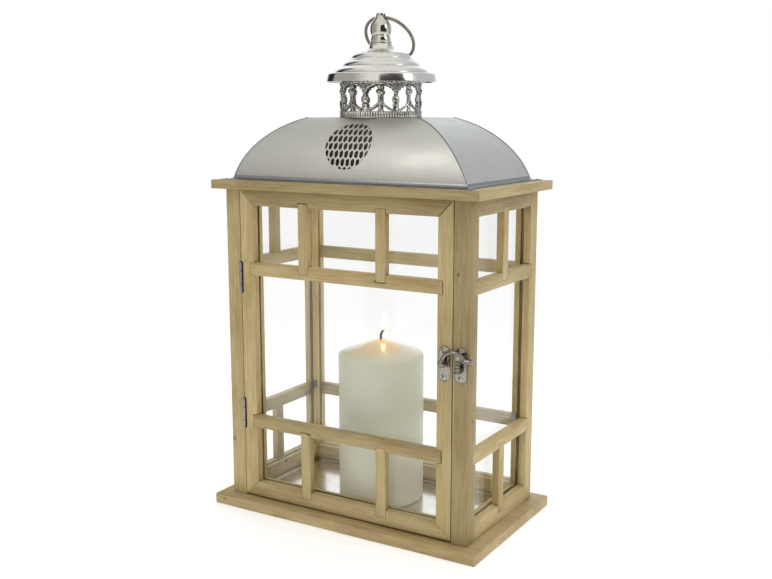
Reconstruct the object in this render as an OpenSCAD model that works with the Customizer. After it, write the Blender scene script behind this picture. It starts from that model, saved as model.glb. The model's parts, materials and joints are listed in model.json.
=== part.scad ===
// Hanging lantern: a wooden cage with four glass walls, a hinged front door,
// a steel roof with two vents, a pierced collar, a stepped cap, a finial and a ring.
// Millimetres, +Z up, front towards -Y, origin at the middle of the base board's underside.

/* [Boards] */
// Width of the base board
base_w = 276; // [272:1:290]
// Depth of the base board
base_d = 158; // [156:1:170]
// Thickness of the base board
base_t = 9.5; // [8:0.5:14]
// Width of the wooden top frame
top_w = 271; // [269:1:276]
// Depth of the wooden top frame
top_d = 151; // [150:1:156]
// Thickness of the wooden top frame
top_t = 8; // [8:0.5:12]
// Width of each strip of the top frame
strip_w = 26; // [24:1:30]

/* [Cage] */
// Width over the corner posts
cage_w = 250; // [246:1:252]
// Depth over the corner posts
cage_d = 134; // [132:1:136]
// Height of the corner posts
post_h = 292; // [285:1:320]
// Width of a corner post, seen from the front
post_w = 15; // [15:0.5:17]
// Depth of a corner post, and thickness of the door and of the rails
post_d = 14; // [14:0.5:15]
// Height of the rails at the top of the side and back walls
top_rail_h = 14.5; // [13:0.5:18]
// Height of the rails at the foot of the side and back walls
bottom_rail_h = 16; // [14:0.5:20]
// Height of the glazing bars
bar_h = 12; // [11:0.5:14]
// Thickness of the glazing bars and muntins
bar_t = 6.5; // [6:0.1:6.8]
// Height of the lower glazing bars' underside above the base board
lower_bar_up = 69; // [60:1:80]
// Height of the upper glazing bars' underside above the base board
upper_bar_up = 213.5; // [200:0.5:220]
// Width of the upright muntins
muntin_w = 10; // [8:0.5:12]
// Thickness of the glass panes
glass_t = 2; // [1.6:0.1:2]

/* [Door] */
// Width of the door's stiles and rails
stile_w = 14; // [14:0.5:16]
// Gap between the door and the cage around it
seam = 0.8; // [0.7:0.1:1]
// Gap between the door's foot and the base board
foot_gap = 2; // [1:0.5:3]
// Distance of the door's muntins from its middle
muntin_x = 40; // [30:1:45]
// Height of the hinges
hinge_h = 28; // [26:1:32]
// Height of the lower hinge's foot above the base board
lower_hinge_up = 67; // [40:1:80]
// Height of the upper hinge's foot above the base board
upper_hinge_up = 196.5; // [180:0.5:210]

/* [Latch] */
// Height of the latch's middle above the base board
latch_up = 156; // [120:0.5:170]
// Length of the latch's two plates
plate_len = 30; // [29:1:34]
// Width of the latch's two plates
plate_w = 11; // [10:0.5:11]
// Thickness of the latch's two plates
plate_t = 2; // [1.6:0.1:2]

/* [Roof] */
// Width of the roof at its eaves
eave_w = 237; // [234:1:240]
// Depth of the roof at its eaves
eave_d = 124; // [122:1:126]
// Width of the roof's flat crown
flat_w = 114; // [100:1:120]
// Height of the roof's curved panels
panel_h = 52; // [50:1:54]
// Radius of the arc of the roof's two end panels
end_arc_r = 93; // [90:1:100]
// Thickness of the roof's sheet
sheet_t = 0.8; // [0.6:0.1:1]
// Radius of the two round vents
vent_r = 23; // [15:0.1:25]

/* [Crown] */
// Outer radius of the pierced collar
collar_r = 36.6; // [35:0.1:36.8]
// Number of openings around the collar
collar_openings = 16; // [8:2:18]
// Radius of the cap's lower edge
cap_r = 50; // [49.6:0.1:52]
// Radius of the hanging ring's wire, at its middle line
ring_r = 23.3; // [23:0.1:24]
// Thickness of the hanging ring's wire
ring_wire = 3; // [2.5:0.1:3]
// Angle of the ring behind straight down when it rests on the cap
ring_lean = 41; // [41:1:44]

/* [Candle] */
// Diameter of the candle
candle_d = 80; // [50:1:88]
// Height of the candle's straight side
candle_h = 138; // [80:1:150]

/* [Hidden] */

wood = [0.78, 0.68, 0.49];
steel = [0.72, 0.72, 0.7];
nickel = [0.5, 0.48, 0.45];
pane = [0.85, 0.93, 0.93, 0.35];
wax = [0.94, 0.92, 0.84];

$fn = 64;
round_fn = 180;
fit = 0.15;
over = 1;

// Levels
deck_z = base_t;
head_z = deck_z + post_h;
roof_z = head_z + top_t;
sill_z = deck_z + bottom_rail_h;
lintel_z = head_z - top_rail_h;
lower_z = deck_z + lower_bar_up;
upper_z = deck_z + upper_bar_up;

// Openings between uprights, as half widths
side_half = cage_d / 2 - post_d;
back_half = cage_w / 2 - post_w;
door_half = back_half - seam;
pane_half = door_half - stile_w;

// Door levels
door_z0 = deck_z + foot_gap;
door_z1 = head_z - seam;
door_sill_z = door_z0 + stile_w;
door_lintel_z = door_z1 - stile_w;

// Glazing: the panes slide in grooves, and the bars lie in front of them
glass_in = 8.5;
groove_deep = 3.5;
groove_gap = 0.2;
bar_lap = 4.5;
tongue_t = bar_t / 2;
upper_laps = [7, 4];
lower_laps = [7, 3];

// Floor tray
tray_t = 0.8;
tray_lip = 3;
tray_gap = 1;

// Hinges
hinge_x = -back_half + seam / 2;
hinge_y = -cage_d / 2 - 0.8;
knuckle_r = 2.1;
pin_r = 0.9;
pin_gap = 0.05;
leaf_t = 1;
leaf_w = 10;
knuckle_end = 8;
knuckle_gap = 0.15;
relief_r = knuckle_r + 0.25;
hinge_feet = [deck_z + lower_hinge_up, deck_z + upper_hinge_up];
hinge_screw_up = [7, 21];
hinge_screw_in = 7;
pin_head_h = 0.7;

// Wood screws
screw_gap = 0.05;
hinge_screw = [1.9, 0.9, 8];
plate_screw = [2.3, 1.1, 8];
roof_screw = [2.2, 1.1, 6];

// Latch
face_y = -cage_d / 2;
plate_y = face_y - plate_t;
latch_z = deck_z + latch_up;
latch_x = door_half - stile_w / 2;
catch_x = cage_w / 2 - post_w / 2;
plate_screw_z = 10.4;
pivot_up = 1.3;
pivot_r = 2;
hub_r = 3.4;
hub_y = [plate_y - 0.3, plate_y - 5.1];
arm_y = plate_y - 3.2;
arm_r = 1.9;
arch_r = 10.6;
arch_end = 25;
grip_r = 2.5;
grip_x = [19.2, 28];
grip_up = 4.3;
stud_y = plate_y - 4.3;
stud_foot_z = latch_z - 5.2;

// Roof: the front and back panels are one arch whose radius is half the eaves' depth
band_h = 3.8;
band_out = 1;
eave_z = roof_z + band_h;
crown_z = eave_z + panel_h;
arch_z = eave_z - 1;
side_arch_r = eave_d / 2;
end_run = (eave_w - flat_w) / 2;
end_chord = norm([end_run, panel_h]);
end_depth = sqrt(end_arc_r * end_arc_r - end_chord * end_chord / 4);
end_cx = (eave_w + flat_w) / 4 - end_depth * panel_h / end_chord;
end_cz = (eave_z + crown_z) / 2 - end_depth * end_run / end_chord;
throat_r = 29;
flange_out = [3.5, 3.5];
ear_tip = [128, 71.5];
ear_reach = [19, 15];
ear_screw = [123.6, 67.6];

// Vents: rows of upright hexagonal holes, offset by half a pitch in every other row,
// and cut off by the rim of the round field
vent_angle = 30;
cell_w = 3.75;
cell_h = 8;
cell_pitch = 5.1;
cell_rise = 7.25;
cell_shift = [0.4, -2.2];
vent_rows = 3;
vent_cols = 5;

// Crown
collar_z = crown_z;
collar_t = 1.2;
collar_band = 5.5;
collar_turn = 7.8;
collar_h = 40;
opening_h = 21;
opening_w = 10.2;
cap_z = collar_z + 31;
cap_seat = 9;
lip_h = 7.3;
step_r = [42.3, 35, 27.2];
step_z = [7.7, 13.6, 20.4];
riser = 2.2;
cap_top_r = 9.8;
cap_top = 33.5;
finial_z = cap_z + cap_top;
finial_h = 26.3;
eye_up = 22.7;
eye_z = finial_z + eye_up;
eye_r = 2.15;
bolt_r = 2;
bolt_up = 7;

// Candle and wick
candle_z = deck_z + tray_t;
cone_h = 14;
wick_r = 1.1;
wick_seat = 6;
wick_h = 16;

// A block between two corners
module block(low, high)
    translate(low) cube(high - low);

// Turns a wall that is drawn with its outer face on y = 0 into its place
module wall(turn, reach)
    rotate([0, 0, turn]) translate([0, -reach, 0]) children();

module left_wall() wall(-90, cage_w / 2) children();
module right_wall() wall(90, cage_w / 2) children();
module back_wall() wall(180, cage_d / 2) children();
module front_wall() wall(0, cage_d / 2) children();

// The space that a pane and its grooves take in the members around it
module pane_cut(half, z0, z1)
    block(
        [-half - groove_deep, glass_in - glass_t / 2 - groove_gap, z0 - groove_deep],
        [half + groove_deep, glass_in + glass_t / 2 + groove_gap, z1 + groove_deep]
    );

// A pane of glass in its grooves
module glass_pane(half, z0, z1) {
    edge = groove_deep - groove_gap - fit;
    color(pane)
        block(
            [-half - edge, glass_in - glass_t / 2, z0 - edge],
            [half + edge, glass_in + glass_t / 2, z1 + edge]
        );
}

// The notches that the two glazing bars need in the uprights
module bar_cut(half)
    for (z = [lower_z, upper_z])
        block(
            [-half - bar_lap - fit, -over, z - fit],
            [half + bar_lap + fit, bar_t + fit, z + bar_h + fit]
        );

// The notches that the muntins' tongues need in the rails and bars
module muntin_cut(xs, z0, z1)
    for (x = xs) {
        block(
            [x - muntin_w / 2 - fit, -over, upper_z + bar_h - upper_laps[0] - fit],
            [x + muntin_w / 2 + fit, tongue_t + fit, z1 + upper_laps[1] + fit]
        );
        block(
            [x - muntin_w / 2 - fit, -over, z0 - lower_laps[0] - fit],
            [x + muntin_w / 2 + fit, tongue_t + fit, lower_z + lower_laps[1] + fit]
        );
    }

// One muntin between two levels, with a half-lapped tongue at each end
module muntin(x, z0, z1, laps) {
    block([x - muntin_w / 2, 0, z0], [x + muntin_w / 2, bar_t, z1]);
    block(
        [x - muntin_w / 2, 0, z0 - laps[0]],
        [x + muntin_w / 2, tongue_t, z1 + laps[1]]
    );
}

// The upper and lower muntins of a wall
module muntins(xs, z0, z1)
    color(wood)
        for (x = xs) {
            muntin(x, upper_z + bar_h, z1, upper_laps);
            muntin(x, z0, lower_z, lower_laps);
        }

// A glazing bar, lapped into the uprights at both ends
module bar(half, z, xs, z0, z1)
    color(wood)
        difference() {
            block([-half - bar_lap, 0, z], [half + bar_lap, bar_t, z + bar_h]);
            muntin_cut(xs, z0, z1);
        }

// A rail between two uprights, grooved for the pane and notched for the muntins
module rail(half, z_low, z_high, xs)
    color(wood)
        difference() {
            block([-half, 0, z_low], [half, post_d, z_high]);
            pane_cut(half, sill_z, lintel_z);
            muntin_cut(xs, sill_z, lintel_z);
        }

// A wood screw along +Z, its countersunk head flush with z = 0, its point below
module screw(size) {
    sink = size[0] - size[1];
    translate([0, 0, -sink]) cylinder(r1 = size[1], r2 = size[0], h = sink);
    translate([0, 0, -size[2]]) cylinder(r = size[1], h = size[2] - sink);
}

// The hole that such a screw sits in
module screw_cut(size) {
    sink = size[0] - size[1];
    translate([0, 0, -sink])
        cylinder(r1 = size[1] + screw_gap, r2 = size[0] + screw_gap, h = sink);
    translate([0, 0, -size[2] - fit]) cylinder(r = size[1] + screw_gap, h = size[2] + fit);
    cylinder(r = size[0] + screw_gap, h = over);
}

// Two crossed slots in a screw's head
module cross_slot(size, deep)
    for (turn = [0, 90])
        rotate([0, 0, turn])
            block([-size * 0.62, -size * 0.14, -deep], [size * 0.62, size * 0.14, over]);

module base_board()
    color(wood) block([-base_w / 2, -base_d / 2, 0], [base_w / 2, base_d / 2, base_t]);

// Steel tray that the candle stands on, with a small upturned lip
module floor_tray() {
    half_x = back_half - tray_gap;
    half_y = side_half - tray_gap;
    color(steel)
        difference() {
            block([-half_x, -half_y, deck_z], [half_x, half_y, deck_z + tray_lip]);
            block(
                [-half_x + tray_t, -half_y + tray_t, deck_z + tray_t],
                [half_x - tray_t, half_y - tray_t, deck_z + tray_lip + over]
            );
        }
}

// One mitred strip of the top frame, drawn along the front
module top_strip(length, depth)
    translate([0, 0, head_z])
        linear_extrude(top_t)
            polygon([
                [-length / 2, -depth / 2],
                [length / 2, -depth / 2],
                [length / 2 - strip_w, -depth / 2 + strip_w],
                [-length / 2 + strip_w, -depth / 2 + strip_w]
            ]);

// Copies for the four corner ears of the roof
module at_ears()
    for (sx = [-1, 1], sy = [-1, 1])
        translate([sx * ear_screw[0], sy * ear_screw[1], roof_z + sheet_t]) children();

module long_strip(turn)
    color(wood)
        difference() {
            rotate([0, 0, turn]) top_strip(top_w, top_d);
            at_ears() screw_cut(roof_screw);
        }

module short_strip(turn)
    color(wood) rotate([0, 0, turn]) top_strip(top_d, top_w);

module top_strip_front() long_strip(0);
module top_strip_back() long_strip(180);
module top_strip_left() short_strip(-90);
module top_strip_right() short_strip(90);

// A corner post, cut for the panes, bars, hinges and latch that it carries
module post(sx, sy)
    color(wood)
        difference() {
            translate([sx * (cage_w - post_w) / 2, sy * (cage_d - post_d) / 2, deck_z + post_h / 2])
                cube([post_w, post_d, post_h], center = true);
            wall(sx * 90, cage_w / 2) {
                pane_cut(side_half, sill_z, lintel_z);
                bar_cut(side_half);
            }
            if (sy > 0)
                back_wall() {
                    pane_cut(back_half, sill_z, lintel_z);
                    bar_cut(back_half);
                }
            if (sy < 0 && sx < 0) hinge_seat(-back_half - leaf_t - fit, -back_half + over, -1);
            if (sy < 0 && sx > 0) plate_screws_at(catch_x) screw_cut(plate_screw);
        }

module post_front_left() post(-1, -1);
module post_front_right() post(1, -1);
module post_back_left() post(-1, 1);
module post_back_right() post(1, 1);

module side_rail_top() rail(side_half, lintel_z, head_z, [0]);
module side_rail_bottom() rail(side_half, deck_z, sill_z, [0]);
module side_bar(z) bar(side_half, z, [0], sill_z, lintel_z);

module left_top_rail() left_wall() side_rail_top();
module left_bottom_rail() left_wall() side_rail_bottom();
module left_upper_bar() left_wall() side_bar(upper_z);
module left_lower_bar() left_wall() side_bar(lower_z);
module left_muntins() left_wall() muntins([0], sill_z, lintel_z);
module right_top_rail() right_wall() side_rail_top();
module right_bottom_rail() right_wall() side_rail_bottom();
module right_upper_bar() right_wall() side_bar(upper_z);
module right_lower_bar() right_wall() side_bar(lower_z);
module right_muntins() right_wall() muntins([0], sill_z, lintel_z);
module back_top_rail() back_wall() rail(back_half, lintel_z, head_z, []);
module back_bottom_rail() back_wall() rail(back_half, deck_z, sill_z, []);
module back_upper_bar() back_wall() bar(back_half, upper_z, [], sill_z, lintel_z);
module back_lower_bar() back_wall() bar(back_half, lower_z, [], sill_z, lintel_z);

// A flat outline in the door's plane, as thick as the door
module door_member(points)
    translate([0, face_y + post_d, 0])
        rotate([90, 0, 0])
            linear_extrude(post_d) polygon(points);

// What the pane, bars, muntins, hinges and latch take out of the door's members
module door_cuts() {
    front_wall() {
        pane_cut(pane_half, door_sill_z, door_lintel_z);
        bar_cut(pane_half);
        muntin_cut([-muntin_x, muntin_x], door_sill_z, door_lintel_z);
    }
    hinge_seat(-door_half - over, -door_half + leaf_t + fit, 1);
    plate_screws_at(latch_x) screw_cut(plate_screw);
}

module door_stile(s)
    color(wood)
        difference() {
            door_member([
                [s * door_half, door_z0],
                [s * pane_half, door_sill_z],
                [s * pane_half, door_lintel_z],
                [s * door_half, door_z1]
            ]);
            door_cuts();
        }

module door_rail(outer_z, inner_z)
    color(wood)
        difference() {
            door_member([
                [-door_half, outer_z],
                [door_half, outer_z],
                [pane_half, inner_z],
                [-pane_half, inner_z]
            ]);
            door_cuts();
        }

module door_bar(z)
    front_wall() bar(pane_half, z, [-muntin_x, muntin_x], door_sill_z, door_lintel_z);

module door_left_stile() door_stile(-1);
module door_right_stile() door_stile(1);
module door_top_rail() door_rail(door_z1, door_lintel_z);
module door_bottom_rail() door_rail(door_z0, door_sill_z);
module door_upper_bar() door_bar(upper_z);
module door_lower_bar() door_bar(lower_z);
module door_muntins()
    front_wall() muntins([-muntin_x, muntin_x], door_sill_z, door_lintel_z);

module door_glass() front_wall() glass_pane(pane_half, door_sill_z, door_lintel_z);
module left_glass() left_wall() glass_pane(side_half, sill_z, lintel_z);
module right_glass() right_wall() glass_pane(side_half, sill_z, lintel_z);
module back_glass() back_wall() glass_pane(back_half, sill_z, lintel_z);

// Small steel plates beside the side panes, on the back posts
module glass_clips() {
    clip = [4.6, 0.6, 8];
    color(nickel)
        for (s = [-1, 1])
            translate([s * (back_half + clip[0] / 2 + 0.2), side_half - clip[1] / 2, lower_z + bar_h])
                cube(clip, center = true);
}

// Mortise for a hinge leaf between two x values, with room for the knuckles and screws
module hinge_seat(x0, x1, side)
    for (z = hinge_feet) {
        block([x0, hinge_y, z - fit], [x1, face_y + leaf_w + fit, z + hinge_h + fit]);
        translate([hinge_x, hinge_y, z - fit]) cylinder(r = relief_r, h = hinge_h + pin_head_h + 2 * fit);
        hinge_screws_at(z, side) screw_cut(hinge_screw);
    }

// Copies for the screws of one hinge leaf; side is -1 on the post and 1 on the door
module hinge_screws_at(z, side)
    for (up = hinge_screw_up)
        translate([hinge_x + side * seam / 2, face_y + hinge_screw_in, z + up])
            rotate([0, -side * 90, 0]) children();

// One leaf of a butt hinge with its knuckles, between two sets of levels
module hinge_leaf(z, side) {
    own = side < 0 ? [[0, knuckle_end], [hinge_h - knuckle_end, hinge_h]]
                   : [[knuckle_end + knuckle_gap, hinge_h - knuckle_end - knuckle_gap]];
    others = side < 0 ? [[knuckle_end, hinge_h - knuckle_end]]
                      : [[-over, knuckle_end + knuckle_gap],
                         [hinge_h - knuckle_end - knuckle_gap, hinge_h + over]];
    leaf_x = hinge_x + side * seam / 2;
    color(nickel)
        difference() {
            union() {
                difference() {
                    block(
                        [min(leaf_x, leaf_x + side * leaf_t), hinge_y, z],
                        [max(leaf_x, leaf_x + side * leaf_t), face_y + leaf_w, z + hinge_h]
                    );
                    for (span = others)
                        translate([hinge_x, hinge_y, z + span[0]])
                            cylinder(r = relief_r, h = span[1] - span[0]);
                }
                for (span = own)
                    translate([hinge_x, hinge_y, z + span[0]])
                        cylinder(r = knuckle_r, h = span[1] - span[0]);
            }
            translate([hinge_x, hinge_y, z - over])
                cylinder(r = pin_r + pin_gap, h = hinge_h + 2 * over);
            hinge_screws_at(z, side) screw_cut(hinge_screw);
        }
}

module lower_hinge_frame_leaf() hinge_leaf(hinge_feet[0], -1);
module lower_hinge_door_leaf() hinge_leaf(hinge_feet[0], 1);
module upper_hinge_frame_leaf() hinge_leaf(hinge_feet[1], -1);
module upper_hinge_door_leaf() hinge_leaf(hinge_feet[1], 1);

// Pins with a small head that rests on the top knuckle
module hinge_pins()
    color(nickel)
        for (z = hinge_feet)
            translate([hinge_x, hinge_y, z]) {
                cylinder(r = pin_r, h = hinge_h);
                translate([0, 0, hinge_h]) cylinder(r = knuckle_r - 0.4, h = pin_head_h);
            }

module hinge_screws(side)
    color(nickel)
        for (z = hinge_feet)
            hinge_screws_at(z, side)
                difference() {
                    screw(hinge_screw);
                    cross_slot(hinge_screw[0], 0.5);
                }

module hinge_frame_screws() hinge_screws(-1);
module hinge_door_screws() hinge_screws(1);

// A plate with round ends, its back on the cage's front face
module latch_body(x)
    translate([x, face_y, latch_z])
        rotate([90, 0, 0]) {
            for (s = [-1, 1])
                translate([0, s * (plate_len - plate_w) / 2, 0]) cylinder(d = plate_w, h = plate_t);
            block(
                [-plate_w / 2, -(plate_len - plate_w) / 2, 0],
                [plate_w / 2, (plate_len - plate_w) / 2, plate_t]
            );
        }

// Copies for the two screws of a latch plate, their heads at the plate's face
module plate_screws_at(x)
    for (s = [-1, 1])
        translate([x, plate_y, latch_z + s * plate_screw_z]) rotate([90, 0, 0]) children();

module plate_screws(x)
    color(nickel)
        plate_screws_at(x)
            difference() {
                union() {
                    screw(plate_screw);
                    cylinder(r1 = plate_screw[0] - 0.1, r2 = plate_screw[0] - 0.9, h = 0.4);
                }
                cross_slot(plate_screw[0], 0.6);
            }

module at_pivot(y) translate([latch_x, y, latch_z + pivot_up]) rotate([90, 0, 0]) children();

module latch_plate()
    color(nickel)
        difference() {
            latch_body(latch_x);
            plate_screws_at(latch_x) screw_cut(plate_screw);
            at_pivot(face_y + over) cylinder(r = pivot_r, h = plate_t + 2 * over);
        }

module latch_screws() plate_screws(latch_x);

// Rivet that the arm turns on
module latch_pivot()
    color(nickel) {
        at_pivot(face_y) cylinder(r = pivot_r, h = face_y - hub_y[1] + 0.2);
        at_pivot(hub_y[1] - 0.2) cylinder(r1 = hub_r - 0.5, r2 = hub_r - 1.5, h = 1);
    }

// Swinging arm: a hub, an arch that passes over the stud, and a round grip
module latch_arm()
    color(nickel)
        difference() {
            union() {
                at_pivot(hub_y[0]) cylinder(r = hub_r, h = hub_y[0] - hub_y[1]);
                at_pivot(arm_y)
                    translate([arch_r, 0, 0])
                        rotate([0, 0, arch_end])
                            rotate_extrude(angle = 180 - arch_end)
                                translate([arch_r, 0]) circle(r = arm_r);
                at_pivot(arm_y)
                    translate([grip_x[0], grip_up, 0])
                        rotate([0, 90, 0]) {
                            cylinder(r1 = grip_r - 0.6, r2 = grip_r, h = 1);
                            translate([0, 0, 1]) cylinder(r = grip_r, h = grip_x[1] - grip_x[0] - 2);
                            translate([0, 0, grip_x[1] - grip_x[0] - 1])
                                cylinder(r1 = grip_r, r2 = grip_r - 0.8, h = 1);
                        }
            }
            at_pivot(hub_y[0] + over) cylinder(r = pivot_r + 0.06, h = hub_y[0] - hub_y[1] + 2 * over);
        }

module catch_plate()
    color(nickel)
        difference() {
            latch_body(catch_x);
            plate_screws_at(catch_x) screw_cut(plate_screw);
            translate([catch_x, face_y + over, stud_foot_z + 2.2])
                rotate([90, 0, 0]) cylinder(r = 1.5, h = plate_t + 2 * over);
        }

module catch_screws() plate_screws(catch_x);

// Turned stud that the arm hooks over: an upright spindle on a short stem
module catch_stud()
    color(nickel) {
        translate([catch_x, face_y, stud_foot_z + 2.2])
            rotate([90, 0, 0]) cylinder(r = 1.5, h = face_y - stud_y);
        translate([catch_x, stud_y, stud_foot_z])
            rotate_extrude()
                polygon([
                    [0, 0], [2.6, 0], [3.5, 0.8], [2.6, 1.6], [2.3, 3.6], [2.8, 4.2],
                    [2.1, 4.9], [2, 7], [1.2, 7.7], [1.3, 8.1], [2, 9], [2, 9.8],
                    [1.3, 10.8], [0, 11.2]
                ]);
    }

// Outline of the roof's end panels, seen from the front, drawn inward by an inset
module end_profile(inset)
    intersection() {
        translate([-eave_w / 2 + inset, eave_z - over])
            square([eave_w - 2 * inset, panel_h + over - inset]);
        union() {
            for (s = [-1, 1])
                translate([s * end_cx, end_cz]) circle(r = end_arc_r - inset, $fn = round_fn);
            translate([-end_cx, eave_z - over]) square([2 * end_cx, panel_h + over - inset]);
        }
    }

// Outline of the roof's front and back panels, seen from the side
module side_profile(inset)
    translate([0, arch_z]) circle(r = side_arch_r - inset, $fn = round_fn);

// The roof's whole curved body above a level, drawn inward by an inset
module roof_body(inset, low_z)
    intersection() {
        rotate([90, 0, 0])
            linear_extrude(eave_d, center = true) end_profile(inset);
        rotate([90, 0, 90])
            linear_extrude(eave_w, center = true) side_profile(inset);
        translate([0, 0, low_z + panel_h])
            cube([eave_w, eave_d, 2 * panel_h], center = true);
    }

// A quarter of the flange on the wood, with its pointed ear
module flange_quarter()
    polygon([
        [0, 0],
        [eave_w / 2 + flange_out[0], 0],
        [eave_w / 2 + flange_out[0], ear_tip[1] - ear_reach[1]],
        ear_tip,
        [ear_tip[0] - ear_reach[0], eave_d / 2 + flange_out[1]],
        [0, eave_d / 2 + flange_out[1]]
    ]);

module flange_outline()
    for (mx = [0, 1], my = [0, 1]) mirror([mx, 0]) mirror([0, my]) flange_quarter();

// Upright hexagonal holes across one panel, cut along the arch's own radii
module vent_cells()
    for (row = [-vent_rows : vent_rows + 1], col = [-vent_cols : vent_cols]) {
        x = (col + (abs(row + 1) % 2) / 2) * cell_pitch + cell_shift[0];
        rise = row * cell_rise + cell_shift[1];
        if (norm([x, rise]) < vent_r)
            translate([0, 0, arch_z])
                rotate([90 - vent_angle - rise / side_arch_r * 180 / PI, 0, 0])
                    translate([x, 0, side_arch_r - 2])
                        linear_extrude(4)
                            intersection() {
                                translate([-x, -rise]) circle(r = vent_r, $fn = round_fn);
                                polygon([
                                    [0, -cell_h / 2], [cell_w / 2, -cell_h / 4],
                                    [cell_w / 2, cell_h / 4], [0, cell_h / 2],
                                    [-cell_w / 2, cell_h / 4], [-cell_w / 2, -cell_h / 4]
                                ]);
                            }
    }

// Sheet steel roof: curved panels, a narrow band at the eaves and a flange with four ears
module roof()
    color(steel)
        difference() {
            union() {
                roof_body(0, eave_z);
                translate([0, 0, roof_z])
                    linear_extrude(band_h)
                        square([eave_w + 2 * band_out, eave_d + 2 * band_out], center = true);
                translate([0, 0, roof_z]) linear_extrude(sheet_t) flange_outline();
            }
            roof_body(sheet_t, eave_z - over / 2);
            translate([0, 0, roof_z + band_h / 2 - over / 2])
                cube([eave_w - 2 * sheet_t, eave_d - 2 * sheet_t, band_h + over], center = true);
            translate([0, 0, crown_z]) cylinder(r = throat_r, h = 10, center = true);
            vent_cells();
            rotate([0, 0, 180]) vent_cells();
            at_ears() screw_cut(roof_screw);
        }

module roof_screws()
    color(nickel)
        at_ears()
            difference() {
                union() {
                    screw(roof_screw);
                    cylinder(r1 = roof_screw[0] - 0.1, r2 = roof_screw[0] - 1, h = 0.5);
                }
                cross_slot(roof_screw[0], 0.6);
            }

// Pointed oval that is one opening of the collar
module pointed_oval(width, height) {
    r = (height * height / 4 + width * width / 4) / width;
    intersection_for(s = [-1, 1])
        translate([s * (r - width / 2), 0]) circle(r = r);
}

module collar()
    color(steel)
        translate([0, 0, collar_z])
            difference() {
                cylinder(r = collar_r, h = collar_h);
                translate([0, 0, -over])
                    cylinder(r = collar_r - collar_t, h = collar_h + 2 * over);
                for (i = [0 : collar_openings - 1])
                    rotate([0, 0, (i + 0.5) * 360 / collar_openings + collar_turn])
                        translate([collar_r - 3, 0, collar_band + 1 + opening_h / 2])
                            rotate([90, 0, 90])
                                linear_extrude(5) pointed_oval(opening_w, opening_h);
            }

// Cap: a flared lip, three steps and a trumpet that carries the finial
module cap()
    color(steel)
        translate([0, 0, cap_z])
            rotate_extrude($fn = round_fn)
                polygon(concat(
                    [[cap_r - 1.2, 0], [cap_r, 0], [cap_r - 1.4, lip_h], [step_r[0] + 1, lip_h + 0.2]],
                    [
                        for (i = [0 : 2])
                            each [
                                [step_r[i] + 0.4, step_z[i]],
                                [step_r[i] + 0.2, step_z[i] + riser * 0.7],
                                [step_r[i] - 0.8, step_z[i] + riser]
                            ]
                    ],
                    [
                        [22, 25.6], [18, 26.6], [14.8, 27.4], [12.6, 28.8], [11.2, 30.6],
                        [10.2, 32.2], [cap_top_r, cap_top], [bolt_r + 0.05, cap_top],
                        [bolt_r + 0.05, cap_top - 8], [12, cap_top - 8], [26, 17.5], [34, 11.5],
                        [34, cap_seat], [collar_r + 0.1, cap_seat], [collar_r + 0.1, lip_h - 1.2],
                        [cap_r - 2.6, lip_h - 1.2]
                    ]
                ));

// Turned finial with a cross hole that the ring hangs in
module finial() {
    waist_z = 6.7;
    bulb_z = 13.3;
    neck_z = 23.7;
    color(steel)
        translate([0, 0, finial_z])
            difference() {
                rotate_extrude()
                    polygon([
                        [0, 0], [8.6, 0], [9.7, 0.7], [9.7, 1.6], [8.9, waist_z - 1],
                        [8.3, waist_z], [8.8, waist_z + 0.8], [9.4, bulb_z - 3.4], [9.5, bulb_z],
                        [9, bulb_z + 2.8], [7.9, bulb_z + 5], [6.5, bulb_z + 7], [5.2, bulb_z + 8.8],
                        [4.3, neck_z], [4.1, neck_z + 0.5], [4.1, finial_h - 0.4],
                        [3.7, finial_h], [0, finial_h]
                    ]);
                translate([0, 0, eye_up]) rotate([0, 90, 0]) {
                    cylinder(r = eye_r, h = 30, center = true);
                    for (turn = [0, 180])
                        rotate([turn, 0, 0]) translate([0, 0, 3.2])
                            cylinder(r1 = eye_r, r2 = eye_r + 1.8, h = 6);
                }
                translate([0, 0, -over]) cylinder(r = bolt_r + 0.05, h = bolt_up + over + fit);
            }
}

// Bolt that holds the finial to the cap from below
module finial_bolt()
    color(nickel)
        translate([0, 0, finial_z]) {
            translate([0, 0, -8]) cylinder(r = bolt_r, h = 8 + bolt_up);
            translate([0, 0, -10.6]) cylinder(d = 7.6, h = 2.6, $fn = 6);
        }

// Wire ring through the finial, leaning back on the cap
module hanging_ring()
    color(nickel)
        translate([0, 0, eye_z])
            rotate([ring_lean, 0, 0])
                translate([0, 0, -ring_r])
                    rotate([90, 0, 0])
                        rotate_extrude($fn = round_fn)
                            translate([ring_r, 0]) circle(d = ring_wire, $fn = 32);

// Pillar candle with a low conical top
module candle()
    color(wax)
        translate([0, 0, candle_z])
            difference() {
                rotate_extrude($fn = round_fn)
                    polygon([
                        [0, 0], [candle_d / 2 - 1.5, 0], [candle_d / 2, 1.5],
                        [candle_d / 2, candle_h - 1], [candle_d / 2 - 1.2, candle_h + 0.6],
                        [5, candle_h + cone_h - 0.6], [0, candle_h + cone_h]
                    ]);
                translate([0, 0, candle_h + cone_h - wick_seat])
                    cylinder(r = wick_r + screw_gap, h = wick_seat + over);
            }

module wick()
    color([0.15, 0.13, 0.12])
        translate([0, 0, candle_z + candle_h + cone_h - wick_seat]) cylinder(r = wick_r, h = wick_h);

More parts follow.
